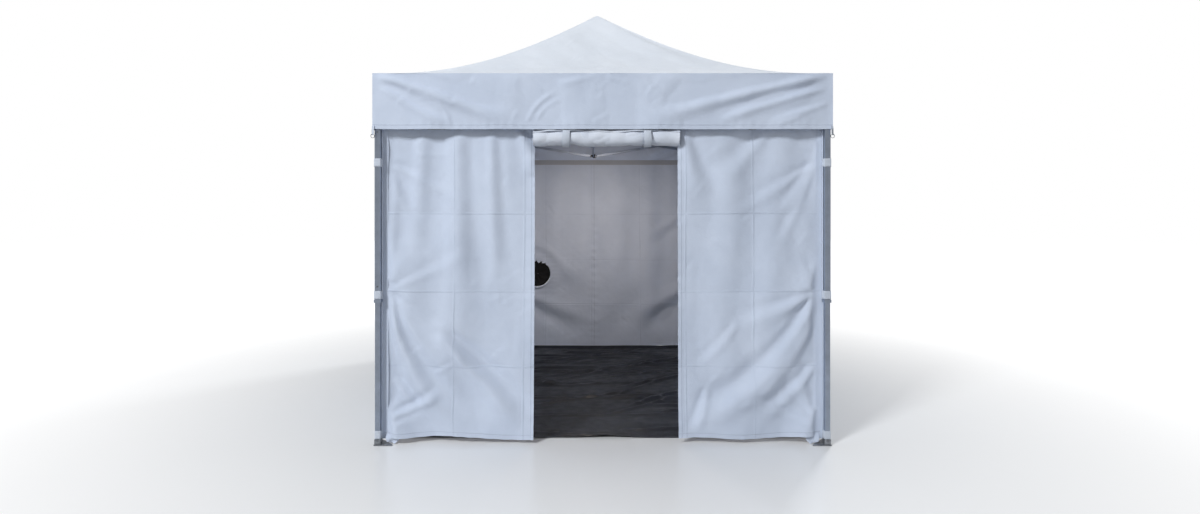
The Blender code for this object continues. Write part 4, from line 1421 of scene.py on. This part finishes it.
def make_bolts(corner, axis):
    """The foot's socket bolts, the leg's button and the bracket's screw."""
    upper, lower = f"upper_leg_{corner}", f"lower_leg_{corner}"
    for name, place, radius, head, body in (
        ("socket_bolt", (0, -0.0204, 0.032), 0.0050, 0.0032, lower),
        ("socket_bolt_side", (-0.0204, 0, 0.032), 0.0050, 0.0032, lower),
        ("leg_button", (0, -0.0202, UPPER_LOW + 0.105), 0.0042, 0.0045, upper),
        ("bracket_screw", (0, -0.0203, 2.060), 0.0036, 0.0022, upper),
    ):
        placed = axis @ (moved(*place, 90, "X") if place[1] else moved(*place, -90, "Y"))
        finish_piece(f"{name}_{corner}", bolt_mesh(radius, head), "steel", body, placed)


def zip_mesh():
    """A zip from the walls' bottom to their top: two tapes and a raised chain of teeth, facing -Y."""
    rows = []
    for k, z in enumerate(np.arange(WALL_BOTTOM + 0.02, WALL_TOP - 0.02, 0.006)):
        chain = -0.0016 if k % 2 else -0.0008
        near = [(0.002, chain), (0.003, -0.0004), (0.0125, 0)]
        rows.append([(x, y, z) for x, y in [(-x, y) for x, y in reversed(near)] + near])
    return row_mesh("zip", np.array(rows))


def flap_profiles(seed):
    """Rows of places, bottom to top, of the corner flap and of the strip round the leg's inner corner."""
    wings, wraps = [], []
    for z in lines(WALL_BOTTOM + 0.012, WALL_TOP - 0.018, 0.03):
        near = 0.0022 + (LOWER_HALF if z < UPPER_LOW else UPPER_HALF)
        hang = 0.0245 + 0.0005 * math.sin(11 * z + seed)
        edge = 0.0245 + FLAP_REACH + 0.0012 * math.sin(17 * z + 2 * seed)
        wing = [(edge, hang), (0.040, hang), (0.030, hang - 0.0005), (near + 0.0006, near + 0.0002)]
        wings.append([(x, y, z) for x, y in wing + [(y, x) for x, y in reversed(wing)]])
        wrap = [(near, 0.003), (near, 0.012), (near, near)]
        wraps.append([(x, y, z) for x, y in wrap + [(y, x) for x, y in reversed(wrap[:2])]])
    return wings, wraps


def strip_mesh(rows):
    """An upright strip of cloth through rows of places."""
    mesh = row_mesh("strip", np.array(rows)[:, ::-1])
    flat = places_of(mesh)
    map_cloth(mesh, np.stack([flat[:, 0] - flat[:, 1], flat[:, 2]], -1))
    return mesh


def make_corner_tab(corner, out, face, index):
    """The crumpled bottom corner of the front or back wall, just above the foot's plate."""
    side = corner.split("_")[0]
    seed = 1200 + index
    mesh = bent_grid("tab", lines(-0.045, 0.045, 0.006), lines(-0.030, 0.030, 0.006),
                     lambda x, z: -0.010 * rise((0.03 - z) / 0.06) + 0.004 * waves(x, z, 0.05, seed))
    places = places_of(mesh)
    places[:, 0] *= 1 - 0.35 * rise(-places[:, 2] / 0.03)
    set_places(mesh, places)
    place = (out * (WALL_HALF - 0.060), face * (WALL_PLANE + 0.006), WALL_BOTTOM + 0.018)
    placed = moved(*place, 0 if face < 0 else 180) @ moved(0, 0, 0, 14 * out * face, "Y")
    tab = side_piece(f"wall_tab_{corner}", mesh, "wall", side, placed)


def finish_frame():
    """Materials of the CAD nodes that stay."""
    finishes = {"aluminium": "aluminium", "black_plastic": "plastic", "steel": "steel"}
    slots = {row["node"]: row["material_slot"] for row in frame["record"]["subparts"]}
    for name, obj in frame["nodes"].items():
        kind = finishes.get(slots[name])
        if kind:
            obj.data.materials.clear()
            obj.data.materials.append(MAT[kind])
            obj.data.shade_smooth()
            obj.data.set_sharp_from_angle(angle=math.radians(32))


# Stage


def stage_material():
    """A pale polished floor that fades into the white studio a few metres from the tent."""
    nodes = Nodes(bpy.data.materials.new("stage_floor"))
    place = nodes.place()
    reach = nodes.node("ShaderNodeVectorMath", Vector=place)
    reach.operation = "LENGTH"
    share = nodes.math("DIVIDE", reach.outputs["Value"], 10.0)
    away = nodes.greys(share, 0.16, 0.0, 0.52, 1.0)
    near = nodes.minus(1.0, away)
    nodes.set(Base_Color=nodes.ramp(near, [(0.0, (0, 0, 0)), (1.0, (0.81, 0.82, 0.83))]))
    polish = nodes.noise(place, 1.6, 4.0)
    nodes.set(Roughness=nodes.greys(polish, 0.3, 0.18, 0.7, 0.26), Specular_IOR_Level=0.5)
    seen = nodes.node("ShaderNodeLightPath").outputs["Is Camera Ray"]
    glow = nodes.times(away, nodes.plus(0.35, nodes.times(seen, 0.65)))
    nodes.set(Emission_Color=(1, 1, 1, 1), Emission_Strength=glow)
    return nodes.owner


DAYLIGHT = (0.97, 0.985, 1.0)


def area_light(name, place, aim, size, power, colour=(1, 1, 1)):
    light = bpy.data.lights.new(name, "AREA")
    light.shape = "RECTANGLE"
    light.size, light.size_y = size
    light.energy = power
    light.color = colour
    obj = linked(name, light)
    obj.location = place
    obj.rotation_euler = (Vector(aim) - Vector(place)).to_track_quat("-Z", "Y").to_euler()
    return obj


def make_stage():
    bpy.ops.mesh.primitive_plane_add(size=60, location=(0, 0, -0.0005))
    floor = bpy.context.object
    floor.name = "floor"
    floor.data.materials.append(stage_material())
    make_world()
    key = area_light("key", (-7.8, -9.9, 9.6), (0, -1.2, 1.2), (2.5, 2.5), 1560, DAYLIGHT)
    back = area_light("back", (8.2, 9.8, 9.2), (0, 1.2, 1.2), (2.5, 2.5), 1180, DAYLIGHT)
    for light in (key, back):
        light.visible_glossy = False
    area_light("top", (0.5, 1.2, 8.5), (0, 0, 1.0), (7.0, 7.0), 120)
    inside = area_light("inside", (0, 0.03, 1.98), (0, 0.9, 0.2), (0.26, 0.26), 15, (1.0, 0.88, 0.78))
    inside.visible_camera = False


def make_world():
    """A studio that is white all round, lights the tent softly from its walls and has a dimmer ceiling."""
    world = bpy.data.worlds.new("studio")
    bpy.context.scene.world = world
    nodes = Nodes(world, "Background")
    up = nodes.parts(nodes.node("ShaderNodeTexCoord").outputs["Generated"])["Z"]
    nodes.set(Color=nodes.ramp(up, [(0.36, (1.0, 1.0, 1.0)), (0.50, (0.16, 0.18, 0.22))]))
    seen = nodes.node("ShaderNodeLightPath").outputs["Is Camera Ray"]
    nodes.set(Strength=nodes.node("ShaderNodeMapRange", Value=seen, To_Min=0.46).outputs[0])


def make_camera():
    camera = bpy.data.cameras.new("camera")
    camera.sensor_width = 36.0
    camera.lens = 18.4
    camera.shift_x = 0.0147
    camera.shift_y = -0.0355
    obj = linked("camera", camera)
    obj.location = (-0.133, -5.53, 1.52)
    obj.rotation_euler = (math.radians(90), 0, 0)
    bpy.context.scene.camera = obj


make_camera()
make_stage()
finish_frame()
make_walls()
make_roof()
make_peak_patch()
make_valance()
make_door_roll()
make_window()
make_sleeve()
make_groundsheet()
make_leg_trim()
bpy.context.scene.view_settings.view_transform = "Standard"
